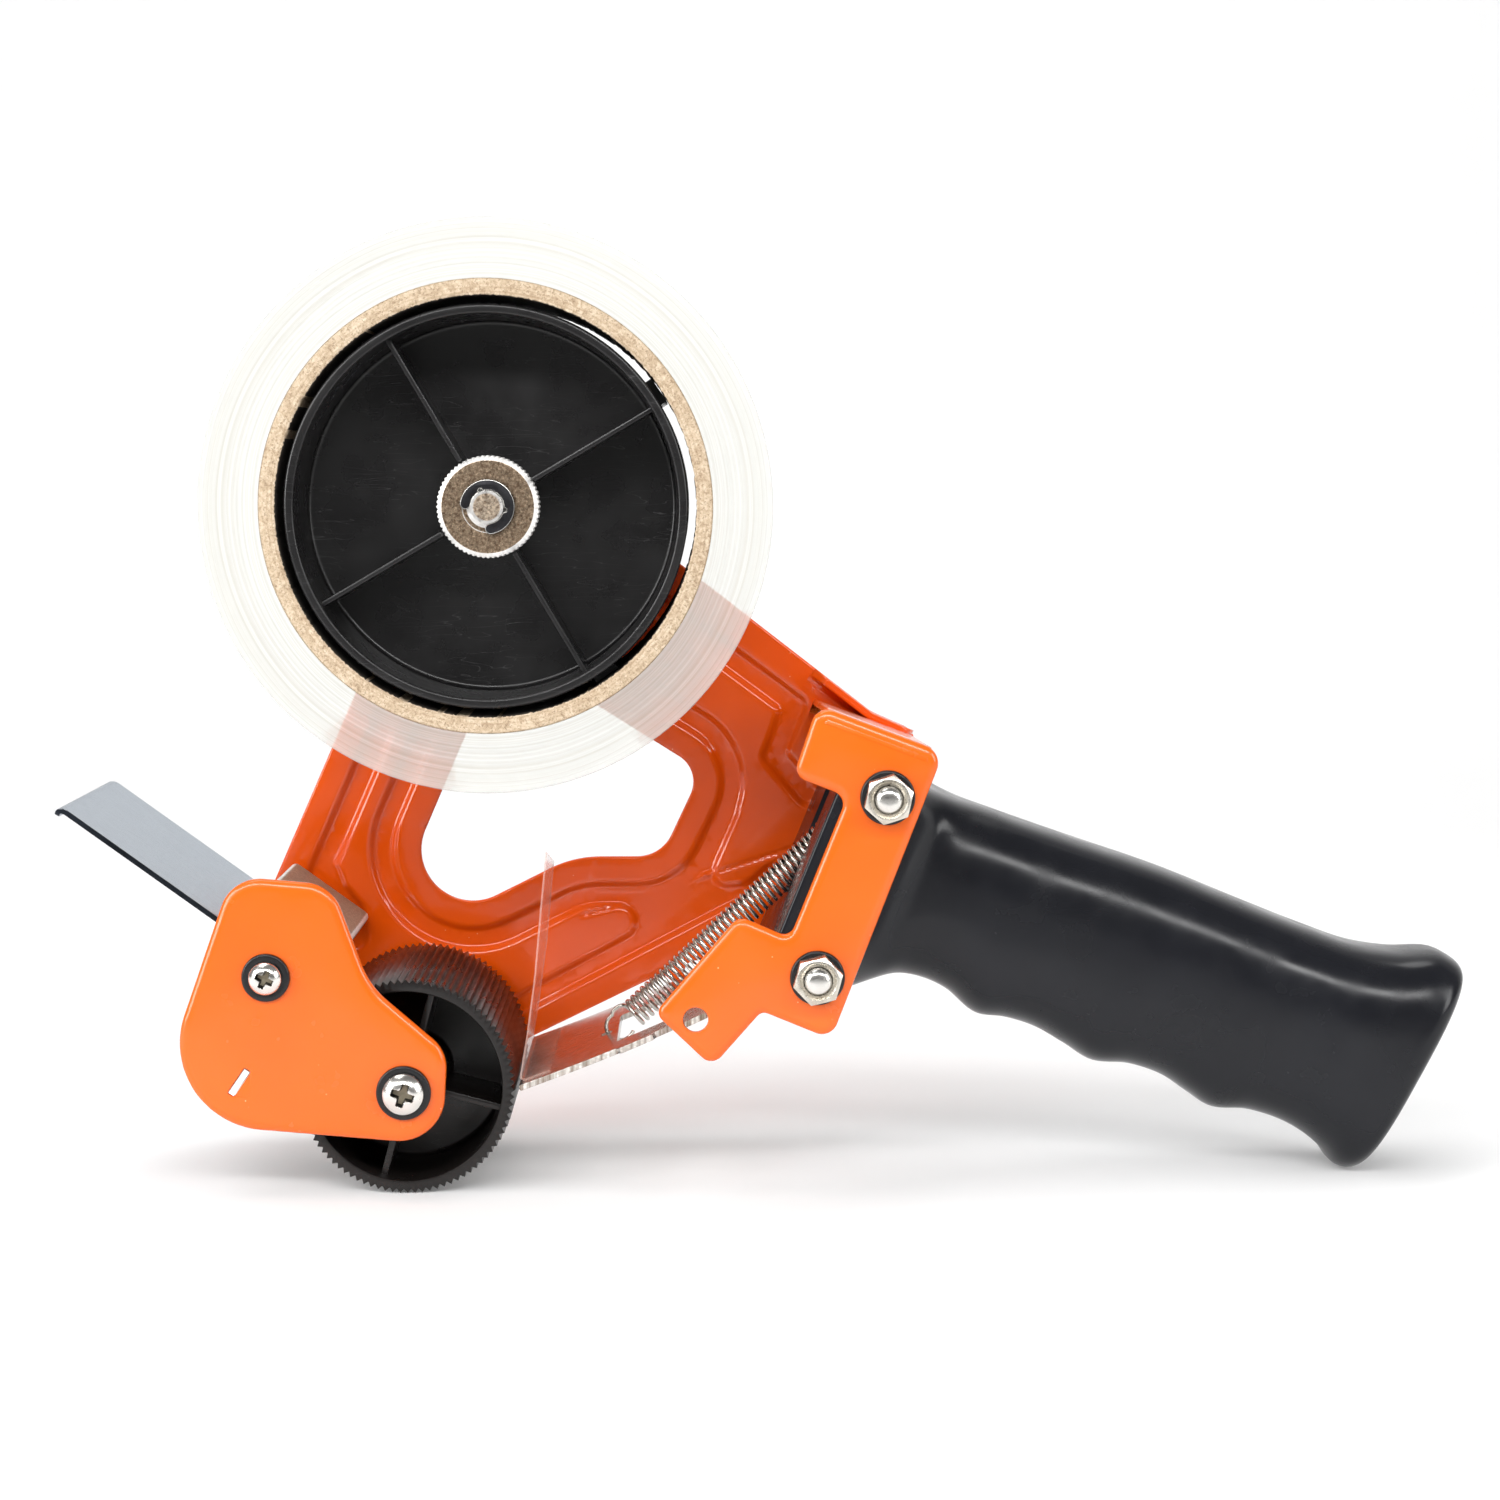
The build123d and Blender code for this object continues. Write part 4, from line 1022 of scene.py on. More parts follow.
def bolts_and_nuts():
    """The two through bolts of the handle with their nuts, washers and lock washers."""
    seat, lock = -PLATE_FACE - WASHER, PLATE_FACE + WASHER
    head_seat = lock + LOCK_WASHER
    end = -BOLT_END
    shank = [(0, end), (0.7, end + 0.02), (1.35, end + 0.1), (1.85, end + 0.28), (2.2, end + 0.6)]
    shank += thread_profile(end + 0.9, seat + 1.0)
    shank += [(BOLT_R - 0.05, seat + 1.4), (BOLT_R - 0.05, head_seat), (0, head_seat)]
    ring = rounded([
        (BOLT_R, seat, 0.2), (WASHER_R, seat, 0.45), (WASHER_R, -PLATE_FACE, 0.2), (BOLT_R, -PLATE_FACE, 0.1),
    ], 0.15)
    bolts, nuts, near_washers, far_washers, springs = [], [], [], [], []
    for number, centre in enumerate((UPPER_BOLT, LOWER_BOLT)):
        bolts += [capped(shank, centre, 48), hex_block(centre, head_seat, BOLT_END, 0.02, 10 + 23 * number)]
        nuts.append(hex_block(centre, seat, seat - NUT_HEIGHT, BOLT_R - 0.02, 18 - 4 * number))
        near_washers.append(turned(ring, centre))
        far_washers.append(turned(ring * (1, -1), centre))
        springs.append(split_ring(centre, lock, head_seat))
    make("domed_bolts", bolts, BRIGHT, "handle_bolts", 35)
    make("chamfered_nuts", nuts, NUT_STEEL, "handle_nuts", 25)
    make("black_nut_washers", near_washers, RUBBER, "nut_washers", 40)
    make("flat_head_washers", far_washers, BRIGHT, "bolt_head_washers", 40)
    make("split_lock_washers", springs, ZINC, "spring_washers", 40)


def split_ring(centre, y_low, y_high):
    """Lock washer: a flat ring with a slanted split."""
    corners = ((BOLT_R, y_low), (LOCK_WASHER_R, y_low), (LOCK_WASHER_R, y_high), (BOLT_R, y_high))
    profile = rounded([(*corner, 0.15) for corner in corners], 0.2)
    rings = []
    for degrees in np.linspace(96, 442, 73):
        ring = []
        for radius, y in profile:
            slant = 12 * ((y - y_low) / (y_high - y_low) - 0.5)
            x, z = polar(centre, radius, math.radians(degrees + slant))
            ring.append((x, y, z))
        rings.append(ring)
    return lofted(rings)


def cross_head(centre, radius, height, seat, out, turn_degrees):
    """Pan head with a pressed cross recess. out is the Y direction in which it stands."""
    arm, width, depth = radius * CROSS_ARM, radius * CROSS_HALF, height * 0.8
    top, rings = seat + out * height, 46

    def dished(r, y, angle):
        if y != top:
            return r, y
        u, v = abs(r * math.cos(angle)), abs(r * math.sin(angle))
        edge = np.clip((r / radius - 0.3) / 0.7, 0, 1)
        dome = height * (1 - 0.55 * edge**2.2) if r < radius * 0.999 else height * 0.33
        reach, thin = max(u, v), min(u, v)
        wide = width * (1.25 - 0.35 * min(1, reach / arm))
        deep = smooth_step(wide - thin, -0.05, 0.16) * smooth_step(arm - reach, -0.05, 0.3)
        floor = depth * (1 - 0.2 * min(1, reach / arm))
        return r, seat + out * (dome - floor * float(deep))

    profile = [(0, top - out * depth), *[(radius * i / rings, top) for i in range(1, rings + 1)]]
    profile += [(radius, seat + out * 0.12), (radius - 0.1, seat)]
    profile += [(1.4, seat), (1.4, seat - out * 2.0), (0, seat - out * 2.0)]
    return capped(profile, centre, 120, dished, math.radians(turn_degrees))


def toothed_washer(centre, radius, seat, out):
    """Black washer with a rounded outer ring and small twisted teeth under the screw head."""
    top, floor = seat + out * WASHER, seat + out * 0.45
    profile = rounded([
        (1.5, seat, 0), (radius, seat, 0.15), (radius, top, 0.42), (radius - 1.5, top, 0.3),
        (radius - 1.75, floor, 0.12), (1.5, floor, 0.1),
    ], 0.12)

    def teeth(r, y, angle):
        toothed = 2.0 < r < radius - 1.6 and abs(y - seat) > 0.3
        return r + (0.22 * math.sin(12 * angle) if toothed else 0), y

    return turned(profile, centre, 144, teeth)


def end_screws():
    """Cross-head screws with toothed black washers at both ends of the roller axle and the guard pin."""
    for name, centre, head, tall, washer, turn in (
        ("roller_axle", ROLLER, 3.8, 2.4, WASHER_R, 18), ("guard_pin", GUARD, 3.0, 2.1, GUARD_WASHER_R, 25),
    ):
        top = PLATE_FACE + WASHER
        screws = [cross_head(centre, head, tall, out * top, out, turn * out) for out in (-1, 1)]
        washers = [toothed_washer(centre, washer, out * PLATE_FACE, out) for out in (-1, 1)]
        heads = make(f"cross_head_{name}_screws", screws, BRIGHT, f"{name}_screws", 30)

        def in_recess(at, normal):
            way = math.radians(turn) * math.copysign(1, at[1])
            x, z = at[0] - centre[0], at[2] - centre[1]
            u, v = abs(x * math.cos(way) + z * math.sin(way)), abs(z * math.cos(way) - x * math.sin(way))
            return max(u, v) < head * CROSS_ARM and min(u, v) < head * CROSS_HALF * 1.1 and abs(at[1]) > top

        # Painted shade in the cross recesses: a dark brown floor and black walls.
        recolour(heads, RECESS_SHADE, in_recess)
        recolour(heads, OXIDE_AND_SHADE, lambda at, normal: in_recess(at, normal) and abs(normal.y) < 0.8)
        make(f"black_{name}_washers", washers, RUBBER, f"{name}_washers", 40)


# ---- springs
HOOK_CENTRE = np.array((-28.3, 27.8))
SPRING_Y = -4.0
COIL_R = 2.58
SPRING_WIRE_R = 0.36
HOOK_R = 2.65
BOLT_HOOK_R = 4.8
COILS, COIL_STEPS = 48, 22


def tension_spring():
    """Long extension spring from the slit in the tension plate to a loop round the upper bolt."""
    low_centre = np.array((HOOK_CENTRE[0], SPRING_Y, HOOK_CENTRE[1]))
    high_centre = np.array((UPPER_BOLT[0], SPRING_Y, UPPER_BOLT[1]))
    length = float(np.linalg.norm(high_centre - low_centre))
    ahead = (high_centre - low_centre) / length
    side = np.array((-ahead[2], 0, ahead[0]))
    cross = np.array((0, 1.0, 0))

    def hook(centre, radius, angle):
        return centre + radius * (math.cos(angle) * ahead + math.sin(angle) * side)

    path = [hook(low_centre, HOOK_R, math.radians(degrees)) for degrees in np.arange(-62, -282, -7)]
    low, high = HOOK_R + 0.4, length - BOLT_HOOK_R - 0.4
    coil = []
    for i in range(COILS * COIL_STEPS + 1):
        t = i / (COILS * COIL_STEPS)
        radius = 0.5 + (COIL_R - 0.5) * float(smooth_step(1 - t, -0.02, 0.06))
        angle = -2 * math.pi * i / COIL_STEPS
        at = low_centre + ahead * (low + (high - low) * t)
        coil.append(at + radius * (math.cos(angle) * side - math.sin(angle) * cross))
    joint = path[-1]
    for t in np.linspace(0.15, 0.85, 6):
        ease = t * t * (3 - 2 * t)
        path.append(joint + (coil[0] - joint) * ease + side * 0.5 * math.sin(math.pi * t))
    path += coil
    for angle in np.radians(np.arange(186, 500, 8)):
        path.append(hook(high_centre, BOLT_HOOK_R, angle) + cross * 0.3 * math.sin(angle / 2))
    shape = swept(path, SPRING_WIRE_R)
    spring = make("coiled_tension_spring", [shape], WIRE, "tension_spring", 60, None)
    start, end = (low_centre + ahead * 3) * MM, (high_centre - ahead * 8) * MM
    tuple(start)
    tuple(end)
    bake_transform(spring)


# ---- bent strips
class BentStrip:
    """Places (distance along a side-view centre line, Y) points on a bent strip."""

    def __init__(self, path):
        self.path = np.asarray(path, float)
        steps = np.linalg.norm(np.diff(self.path, axis=0), axis=1)
        self.marks = np.concatenate(([0], np.cumsum(steps)))
        self.length = float(self.marks[-1])
        tangent = np.gradient(self.path, self.marks, axis=0)
        self.normal = np.stack((-tangent[:, 1], tangent[:, 0]), 1)
        self.normal /= np.linalg.norm(self.normal, axis=1, keepdims=True)

    def at_x(self, x):
        """Distance along the strip of a given X."""
        order = np.argsort(self.path[:, 0])
        return float(np.interp(x, self.path[order, 0], self.marks[order]))

    def place(self, points, heights):
        s = points[:, 0]
        x, z = (np.interp(s, self.marks, self.path[:, i]) for i in (0, 1))
        nx, nz = (np.interp(s, self.marks, self.normal[:, i]) for i in (0, 1))
        return np.stack((x + nx * heights, points[:, 1], z + nz * heights), 1)

    def formed(self, loops, thickness, rim, spacing=1.5, toe=0.0):
        loops = [divided(loop, 0.7) for loop in loops]
        slope = np.unwrap(np.arctan2(self.normal[:, 1], self.normal[:, 0]))
        curving = self.marks[np.abs(np.gradient(slope, self.marks)) > 0.3]

        def bent(points):
            return np.min(np.abs(points[:, :1] - curving), 1, initial=1e9) < 0.4

        def drop(points, edge):
            fall = edge_drop(edge, rim)
            return np.maximum(fall, edge_drop(points[:, 0], toe)) if toe else fall

        return sheet(
            loops,
            lambda p, edge: thickness / 2 - drop(p, edge),
            lambda p, edge: drop(p, edge) - thickness / 2,
            spacing, round_rows(rim) + ((toe,) if toe else ()), self.place, bent, 0.4,
        )


def smoothed(points, radii, step=0.15):
    """Open path with rounded corners, finely divided."""
    path = open_path(points, radii, step)
    dense = []
    for a, b in zip(path, path[1:]):
        count = max(1, math.ceil(np.linalg.norm(b - a) / 0.8))
        dense += [a + (b - a) * t for t in np.arange(count) / count]
    return np.array([*dense, path[-1]])


def mirrored_loop(half):
    """Closed (distance, Y) outline from its near half."""
    corners = [*half, *[(s, -y, r) for s, y, r in half[::-1]]]
    return rounded(corners, 0.25)


STRIP_ANGLE = math.radians(24.5)
STRIP = 1.1
STRIP_HALF = 25.0
TONGUE = 4.4
TONGUE_REACH = PLATE_FACE - 0.1
STRIP_BEND_END = np.array((-40.6, 22.1))
STRIP_TOE = 6.2
EAR_X = (-28.4, -21.9)
EAR_REACH = 1.2
STRIP_WINDOW = ((-28.4, -19.0), (-17.5, 10.4))
HOOK_SLIT = ((-31.7, -29.7), (-5.2, -2.8))


def tension_plate():
    """Brushed retaining strip with sheared near edges, ears, tongues and the spring's window and slit."""
    slope = polar((0, 0), 1, STRIP_ANGLE)
    heel, knee = PIVOT + slope * TONGUE / 2, PIVOT - slope * TONGUE / 2
    chord = STRIP_BEND_END - knee
    chord_angle = math.atan2(chord[1], chord[0])
    first = math.atan2(-slope[1], -slope[0])
    turn = 2 * ((chord_angle - first + math.pi) % (2 * math.pi) - math.pi)
    angles = first + turn * np.linspace(0, 1, 26)
    steps = np.stack((np.cos(angles), np.sin(angles)), 1)
    arc = np.cumsum(steps[:-1] + steps[1:], axis=0)
    arc = knee + arc * np.linalg.norm(chord) / np.linalg.norm(arc[-1])
    toe = [polar(arc[-1], STRIP_TOE * t, first + turn) for t in np.linspace(0.06, 1, 24)]
    strip = BentStrip([heel, (heel + knee) / 2, knee, *arc, *toe][::-1])
    ear_from, ear_to = strip.at_x(EAR_X[0]), strip.at_x(EAR_X[1])
    shoulder, tip = -STRIP_HALF - EAR_REACH, -TONGUE_REACH
    end = strip.length
    half = [
        (0.0, -STRIP_HALF, 0.5), (ear_from, -STRIP_HALF, 0.3), (ear_from + 0.8, shoulder, 0.6),
        (ear_to, shoulder, 0.6), (ear_to + 0.8, -STRIP_HALF, 0.3), (end - TONGUE, -STRIP_HALF, 0.3),
        (end - TONGUE + 0.05, tip, 0.3), (end, tip, 0.3),
    ]
    loops = [mirrored_loop(half)]
    for (x0, x1), (y0, y1) in (STRIP_WINDOW, HOOK_SLIT):
        s0, s1 = strip.at_x(x0), strip.at_x(x1)
        loops.append(rounded([(s0, y0, 0.5), (s1, y0, 0.5), (s1, y1, 0.5), (s0, y1, 0.5)], 0.25))
    shape = strip.formed(loops, STRIP, 0.16, 1.5, 0.5)
    plate = make(
        "brushed_tension_plate", [shape], BRUSHED, "tension_plate", 35, "tension_plate",
    )
    recolour(plate, SHEARED, lambda at, normal: abs(normal.y) > 0.6)


GUARD_SLOPE = math.radians(36)


def guard_place(u, w):
    """Side-view point of the guard's own frame: u down its slope, w square to it."""
    c, s = math.cos(GUARD_SLOPE), math.sin(GUARD_SLOPE)
    return GUARD + np.array((c * u + s * w, -s * u + c * w))


FLAP_TOP = 3.3
FLAP_HALF = 25.5
FLAP_CURL = [(-48.05, 1.25), (-48.2, 2.25)]
FLAP_CURL_START = -47.3
FLAP_ROOT = -3.0
FLAP_NECK = 7.4
GUARD_SHEET = 1.0
BRACKET_HALF = 23.0
CHANNEL_FRONT, CHANNEL_REAR, CHANNEL_TOP = -9.7, 8.7, 11.4


def guard():
    """Channel bent from speckled nickelled sheet with painted highlights on its bends, and the long
    spring-steel flap under it.
    """
    middle = FLAP_TOP - GUARD_SHEET / 2
    line = [*FLAP_CURL, (FLAP_CURL_START, middle), (FLAP_ROOT, middle)]
    strip = BentStrip(smoothed([guard_place(*p) for p in line], (0, 0.5, 0.8, 0)))
    neck = strip.length - FLAP_NECK
    inner = BRACKET_HALF - GUARD_SHEET - 0.4
    half = [(0, -FLAP_HALF, 1.0), (neck, -FLAP_HALF, 0.5), (neck, -inner, 0.3), (strip.length, -inner, 0.5)]
    shape = strip.formed([mirrored_loop(half)], GUARD_SHEET, 0.14, 2.0)
    flap = make("spring_steel_flap", [shape], FLAP_STEEL, "guard_flap", 35, "guard")
    recolour(flap, BLUED, lambda at, normal: abs(normal.y) > 0.5)

    half_sheet = GUARD_SHEET / 2
    front, rear, top = CHANNEL_FRONT + half_sheet, CHANNEL_REAR - half_sheet, CHANNEL_TOP - half_sheet
    line = [
        (-2.6, FLAP_TOP + half_sheet), (front, FLAP_TOP + half_sheet), (front, top), (rear, top), (rear, 3.6),
    ]
    strip = BentStrip(smoothed([guard_place(*p) for p in line], (0, 0.6, 0.6, 0.6, 0)))
    half = [(0, -BRACKET_HALF, 0.5), (strip.length, -BRACKET_HALF, 0.5)]
    shapes = [strip.formed([mirrored_loop(half)], GUARD_SHEET, 0.2, 2.5)]
    ear = rounded([
        (-9.4, 11.1, 0.8), (8.4, 11.1, 0.8), (8.4, 3.0, 3), (4.4, -4.5, 4), (-4.4, -4.5, 4),
        (-9.4, FLAP_TOP + 0.2, 1),
    ], 0.4)
    ear = np.array([guard_place(*p) for p in ear])
    for near in (-BRACKET_HALF, BRACKET_HALF - GUARD_SHEET):
        shapes.append(prism(ear, near + 0.02, near + GUARD_SHEET, 0.12))
    channel = make("speckled_guard_channel", shapes, NICKEL, "guard_bracket", 35, "guard")
    down = Vector((math.cos(GUARD_SLOPE), 0, -math.sin(GUARD_SLOPE)))
    # Painted highlight: faces on the bends take the pale satin finish.
    recolour(channel, SATIN_AND_HIGHLIGHT, lambda at, normal: 0.35 < abs(normal.dot(down)) < 0.93 and abs(normal.y) < 0.3)


# ---- hub, core and tape
HUB_RIM_R = 36.7
HUB_RIM_IN = 34.9
HUB_HALF = 23.5
HUB_WEB = (-5.0, -3.0)
HUB_BOSS_R = 8.0
HUB_BOSS = (-11.2, 19.5)
HUB_RIB_TURN = 30.5
HUB_RIB = 0.95
RIB_NEAR, RIB_FAR = -20.5, 18.0
GRIP_LUG = 5.0
LUG_TURN = 4
LUG_NEAR = -12.0
AXLE_CLEAR_R = 3.05
NUT_NEAR, NUT_FAR = -18.6, -12.6
NUT_R = 9.4
NUT_STEP_R = 4.6


def radial_rib(centre, degrees, r_in, r_out, y_near, y_far, width):
    """Upright wall from a boss to a rim, with rounded edges."""
    angle = math.radians(degrees)
    c, s = math.cos(angle), math.sin(angle)

    def place(points, across_rib):
        r, y = points[:, 0], points[:, 1]
        return np.stack((centre[0] + r * c - across_rib * s, y, centre[1] + r * s + across_rib * c), 1)

    loop = rounded([(r_in, y_near, 0), (r_out, y_near, 0), (r_out, y_far, 0), (r_in, y_far, 0)])
    return prism(divided(loop, 4.0), -width / 2, width / 2, min(0.3, width * 0.3), place)


def hub():
    """Moulded drum: boss, web, rim, ribs on both faces of the web and grip lugs on the rim."""
    section = rounded([
        (AXLE_CLEAR_R, HUB_BOSS[0], 0.4), (HUB_BOSS_R, HUB_BOSS[0], 0.5), (HUB_BOSS_R + 0.2, HUB_WEB[0], 0.8),
        (HUB_RIM_IN - 0.5, HUB_WEB[0], 0.9), (HUB_RIM_IN, -HUB_HALF, 0.5), (HUB_RIM_R, -HUB_HALF, 0.6),
        (HUB_RIM_R, HUB_HALF, 0.5), (HUB_RIM_IN, HUB_HALF, 0.5), (HUB_RIM_IN - 0.4, HUB_WEB[1], 0.9),
        (HUB_BOSS_R + 0.2, HUB_WEB[1], 0.8), (HUB_BOSS_R, HUB_BOSS[1], 0.5), (AXLE_CLEAR_R, HUB_BOSS[1], 0.4),
    ], 0.25)
    shapes = [turned(section, HUB, 160)]
    near_web, far_web = HUB_WEB[0] + 0.4, HUB_WEB[1] - 0.4
    for degrees in HUB_RIB_TURN + 90 * np.arange(4):
        for turn, r_in, r_out, y_near, y_far, width in (
            (0, NUT_R + 0.35, HUB_RIM_IN + 0.4, RIB_NEAR, near_web, HUB_RIB),
            (0, HUB_BOSS_R - 0.4, NUT_R + 0.6, HUB_BOSS[0] + 0.4, near_web, HUB_RIB),
            (0, HUB_BOSS_R - 0.4, HUB_RIM_IN + 0.4, far_web, RIB_FAR, HUB_RIB),
            (LUG_TURN, HUB_RIM_R - 0.3, CORE_BORE_R - 0.15, LUG_NEAR, RIB_FAR, GRIP_LUG),
        ):
            shapes.append(radial_rib(HUB, degrees + turn, r_in, r_out, y_near, y_far, width))
    make("moulded_tape_hub", shapes, BLACK, "tape_hub", 35, "hub")


def waves(angle, seeds):
    """Repeatable unevenness round a circle, about -1 to 1."""
    return sum(weight * math.sin(count * angle + phase) for count, weight, phase in seeds)


COARSE = ((3, 0.35, 0.4), (7, 0.3, 2.1), (13, 0.22, 4.0), (29, 0.2, 1.3))
RAGGED = ((41, 0.3, 0.9), (67, 0.3, 2.6), (97, 0.25, 5.1), (151, 0.3, 3.3), (223, 0.25, 0.2))


def core():
    """Cardboard tube with soft, frayed ends; its bore is painted dark as shade."""
    half = TAPE_HALF - 0.05
    section = rounded([
        (CORE_BORE_R, -half, 0.5), (CORE_R, -half, 0.35), (CORE_R, half, 0.35), (CORE_BORE_R, half, 0.5),
    ], 0.12)

    def frayed(radius, y, angle):
        if abs(y) > half - 0.8 and radius < CORE_BORE_R + 1.2:
            fray = 0.16 * waves(angle, COARSE) + 0.2 * waves(angle, RAGGED)
            return max(radius + fray, CORE_BORE_R - 0.02), y
        return radius, y

    shape = turned(section, HUB, 420, frayed)
    tube = make("cardboard_core", [shape], CARD, "tape_core", 60, "tape_roll")
    # Painted shade: the bore wall goes near-black.
    recolour(tube, BORE_SHADE, lambda at, normal: off_hub(at) < CORE_BORE_R + 0.12)


def winding():
    """The tape itself: near and far faces with slightly uneven layers, and a smooth outer turn."""
    radii = np.linspace(CORE_R + 0.02, TAPE_R - 0.25, 34)

    def uneven(i, wave):
        return 0.02 + 0.05 * (0.5 + 0.5 * math.sin(i * wave)) * (i % 3)

    section = [(r, uneven(i, 2.4) - TAPE_HALF) for i, r in enumerate(radii)]
    section += [(TAPE_R - 0.08, 0.08 - TAPE_HALF), (TAPE_R, 0.3 - TAPE_HALF)]
    section += [(TAPE_R, y) for y in (-16.0, -8.0, 0.0, 8.0, 16.0)]
    section += [(TAPE_R, TAPE_HALF - 0.3), (TAPE_R - 0.08, TAPE_HALF - 0.08)]
    section += [(r, TAPE_HALF - uneven(i, 1.7)) for i, r in enumerate(radii[::-1])]
    shape = turned(section, HUB, 192)
    roll = make("wound_clear_tape", [shape], TAPE_SIDE, "tape_winding", 60, "tape_roll")
    recolour(roll, TAPE_FACE, lambda at, normal: off_hub(at) > TAPE_R - 0.06 and abs(at[1]) < TAPE_HALF - 0.3)


def brake_nut():
    """Knurled nut with a bright turned chamfer."""
    section = rounded([
        (AXLE_CLEAR_R, NUT_FAR, 0.1), (NUT_R - 0.5, NUT_FAR, 0.1), (NUT_R, NUT_FAR - 0.5, 0.1),
        (NUT_R, NUT_NEAR + 0.55, 0.15), (NUT_R - 0.95, NUT_NEAR, 0.12), (NUT_STEP_R + 0.15, NUT_NEAR, 0.04),
        (NUT_STEP_R, NUT_NEAR + 0.25, 0.04), (3.9, NUT_NEAR + 0.25, 0), (AXLE_CLEAR_R, NUT_NEAR + 0.25, 0.1),
    ], 0.12)

    def knurl(radius, y, angle):
        depth = 0.26 * max(0.0, min(1.0, (radius - NUT_R + 0.3) / 0.3))
        return radius - depth * (0.5 - 0.5 * math.cos(64 * angle)) ** 2, y

    def bright(at, normal):
        radius = off_hub(at)
        return radius > NUT_R - 0.9 or radius < 3.8 or (radius < NUT_STEP_R + 0.3 and abs(normal.y) < 0.9)

    shape = turned(section, HUB, 512, knurl)
    nut = make("knurled_brake_nut", [shape], NUT_NICKEL, "brake_nut", 30, "brake_nut")
    recolour(nut, SATIN_AND_HIGHLIGHT, bright)


CLIP = (-19.9, -19.0)
CLIP_R = 5.0
CLIP_BORE_R = 3.02


def axle_clip():
    """Black E-clip: open at the lower left, with three prongs that reach the axle."""
    start, end = 172.0, -82.0
    outer, inner = [], []
    for degrees in np.linspace(start, end, 72):
        relief = max(float(smooth_step(9 - abs(degrees - prong), 0, 5)) for prong in (112, -10))
        outer.append(polar(HUB, CLIP_R, math.radians(degrees)))
        inner.append(polar(HUB, CLIP_BORE_R + 0.55 * relief, math.radians(degrees)))
    ends = []
    for degrees, first in ((end, end), (start, start + 180)):
        middle = polar(HUB, (CLIP_R + CLIP_BORE_R) / 2, math.radians(degrees))
        bulge = np.linspace(0.3, math.pi - 0.3, 7)
        ends.append([polar(middle, (CLIP_R - CLIP_BORE_R) / 2, math.radians(first) - t) for t in bulge])
    loop = np.array([*outer, *ends[0], *inner[::-1], *ends[1]])
    clip = make("black_e_clip", [prism(loop, *CLIP, 0.14)], OXIDE_AND_SHADE, "axle_clip", 35)
    recolour(clip, ZINC, lambda at, normal: 0.5 < -normal.y < 0.97)


# ---- roller
TIP_R = 20.0
ROOT_R = 19.25
TEETH = 90
ROLLER_HALF = 23.0
ROLLER_RIM_IN = 17.6
ROLLER_BOSS_R = 6.5
ROLLER_RIB_TURN = -15
ROLLER_RIB = 1.3


def roller():
    """Toothed drum with a web and four ribs on each side of it."""
    section = rounded([
        (AXLE_CLEAR_R, -ROLLER_HALF, 0.3), (ROLLER_BOSS_R, -ROLLER_HALF, 0.5),
        (ROLLER_BOSS_R + 0.1, -2.0, 0.8),
        (ROLLER_RIM_IN - 0.3, -2.0, 0.9), (ROLLER_RIM_IN, -ROLLER_HALF, 0.35), (TIP_R, -ROLLER_HALF, 0.25),
        (TIP_R, ROLLER_HALF, 0.25), (ROLLER_RIM_IN, ROLLER_HALF, 0.35), (ROLLER_RIM_IN - 0.3, 2.0, 0.9),
        (ROLLER_BOSS_R + 0.1, 2.0, 0.8), (ROLLER_BOSS_R, ROLLER_HALF, 0.5), (AXLE_CLEAR_R, ROLLER_HALF, 0.3),
    ], 0.3)
    step = 2 * math.pi / TEETH

    def tooth(radius, y, angle):
        if radius < TIP_R - 0.35:
            return radius, y
        phase = abs(((angle + math.pi / 2) / step + 0.5) % 1 - 0.5) * 2
        return radius - (TIP_R - ROOT_R) * min(1.0, phase * 1.12) ** 1.1, y

    shapes = [turned(section, ROLLER, TEETH * 8, tooth)]
    for turn in range(4):
        for near, far in ((-ROLLER_HALF + 3, -1.6), (1.6, ROLLER_HALF - 3)):
            r_in, r_out = ROLLER_BOSS_R - 0.4, ROLLER_RIM_IN + 0.3
            shapes.append(radial_rib(ROLLER, ROLLER_RIB_TURN + 90 * turn, r_in, r_out, near, far, ROLLER_RIB))
    make("toothed_roller", shapes, ROLLER_BLACK, "roller", 28, "roller")


# ---- CAD nodes that keep their shape
def keep_nodes():
    """Small turned and bent parts keep their CAD shape and get softened edges and a real finish."""
    for finish, rim, names in (
        (ZINC, 0.12, ("bolt_sleeves", "roller_axle", "guard_pin", "axle_collar", "friction_washer")),
        (AXLE_STEEL_PAINTED_RING, 0.3, ("hub_axle",)),
        (BLACK, 0.15, ("roller_spacers", "guard_spacers")),
        (WIRE, 0.0, ("brake_spring", "guard_spring")),
        (NICKEL, 0.15, ("flap_rivets", "blade_rivets")),
        (SATIN_AND_HIGHLIGHT, 0.15, ("blade_holder",)),
        (BLADE_STEEL, 0.05, ("serrated_blade",)),
        (FILM, 0.0, ("retaining_film",)),
    ):
        for name in names:
            node = frame["nodes"][name]
            for slot in node.material_slots:
                slot.material = finish
            if not node.material_slots:
                node.data.materials.append(finish)
            if rim:
                weld = node.modifiers.new("weld", "WELD")
                weld.merge_threshold = 2e-6
                bevel = node.modifiers.new("soft_edges", "BEVEL")
                bevel.width = rim * MM
                bevel.segments = 2
                bevel.limit_method = "ANGLE"
                bevel.angle_limit = math.radians(40)
                bevel.harden_normals = False


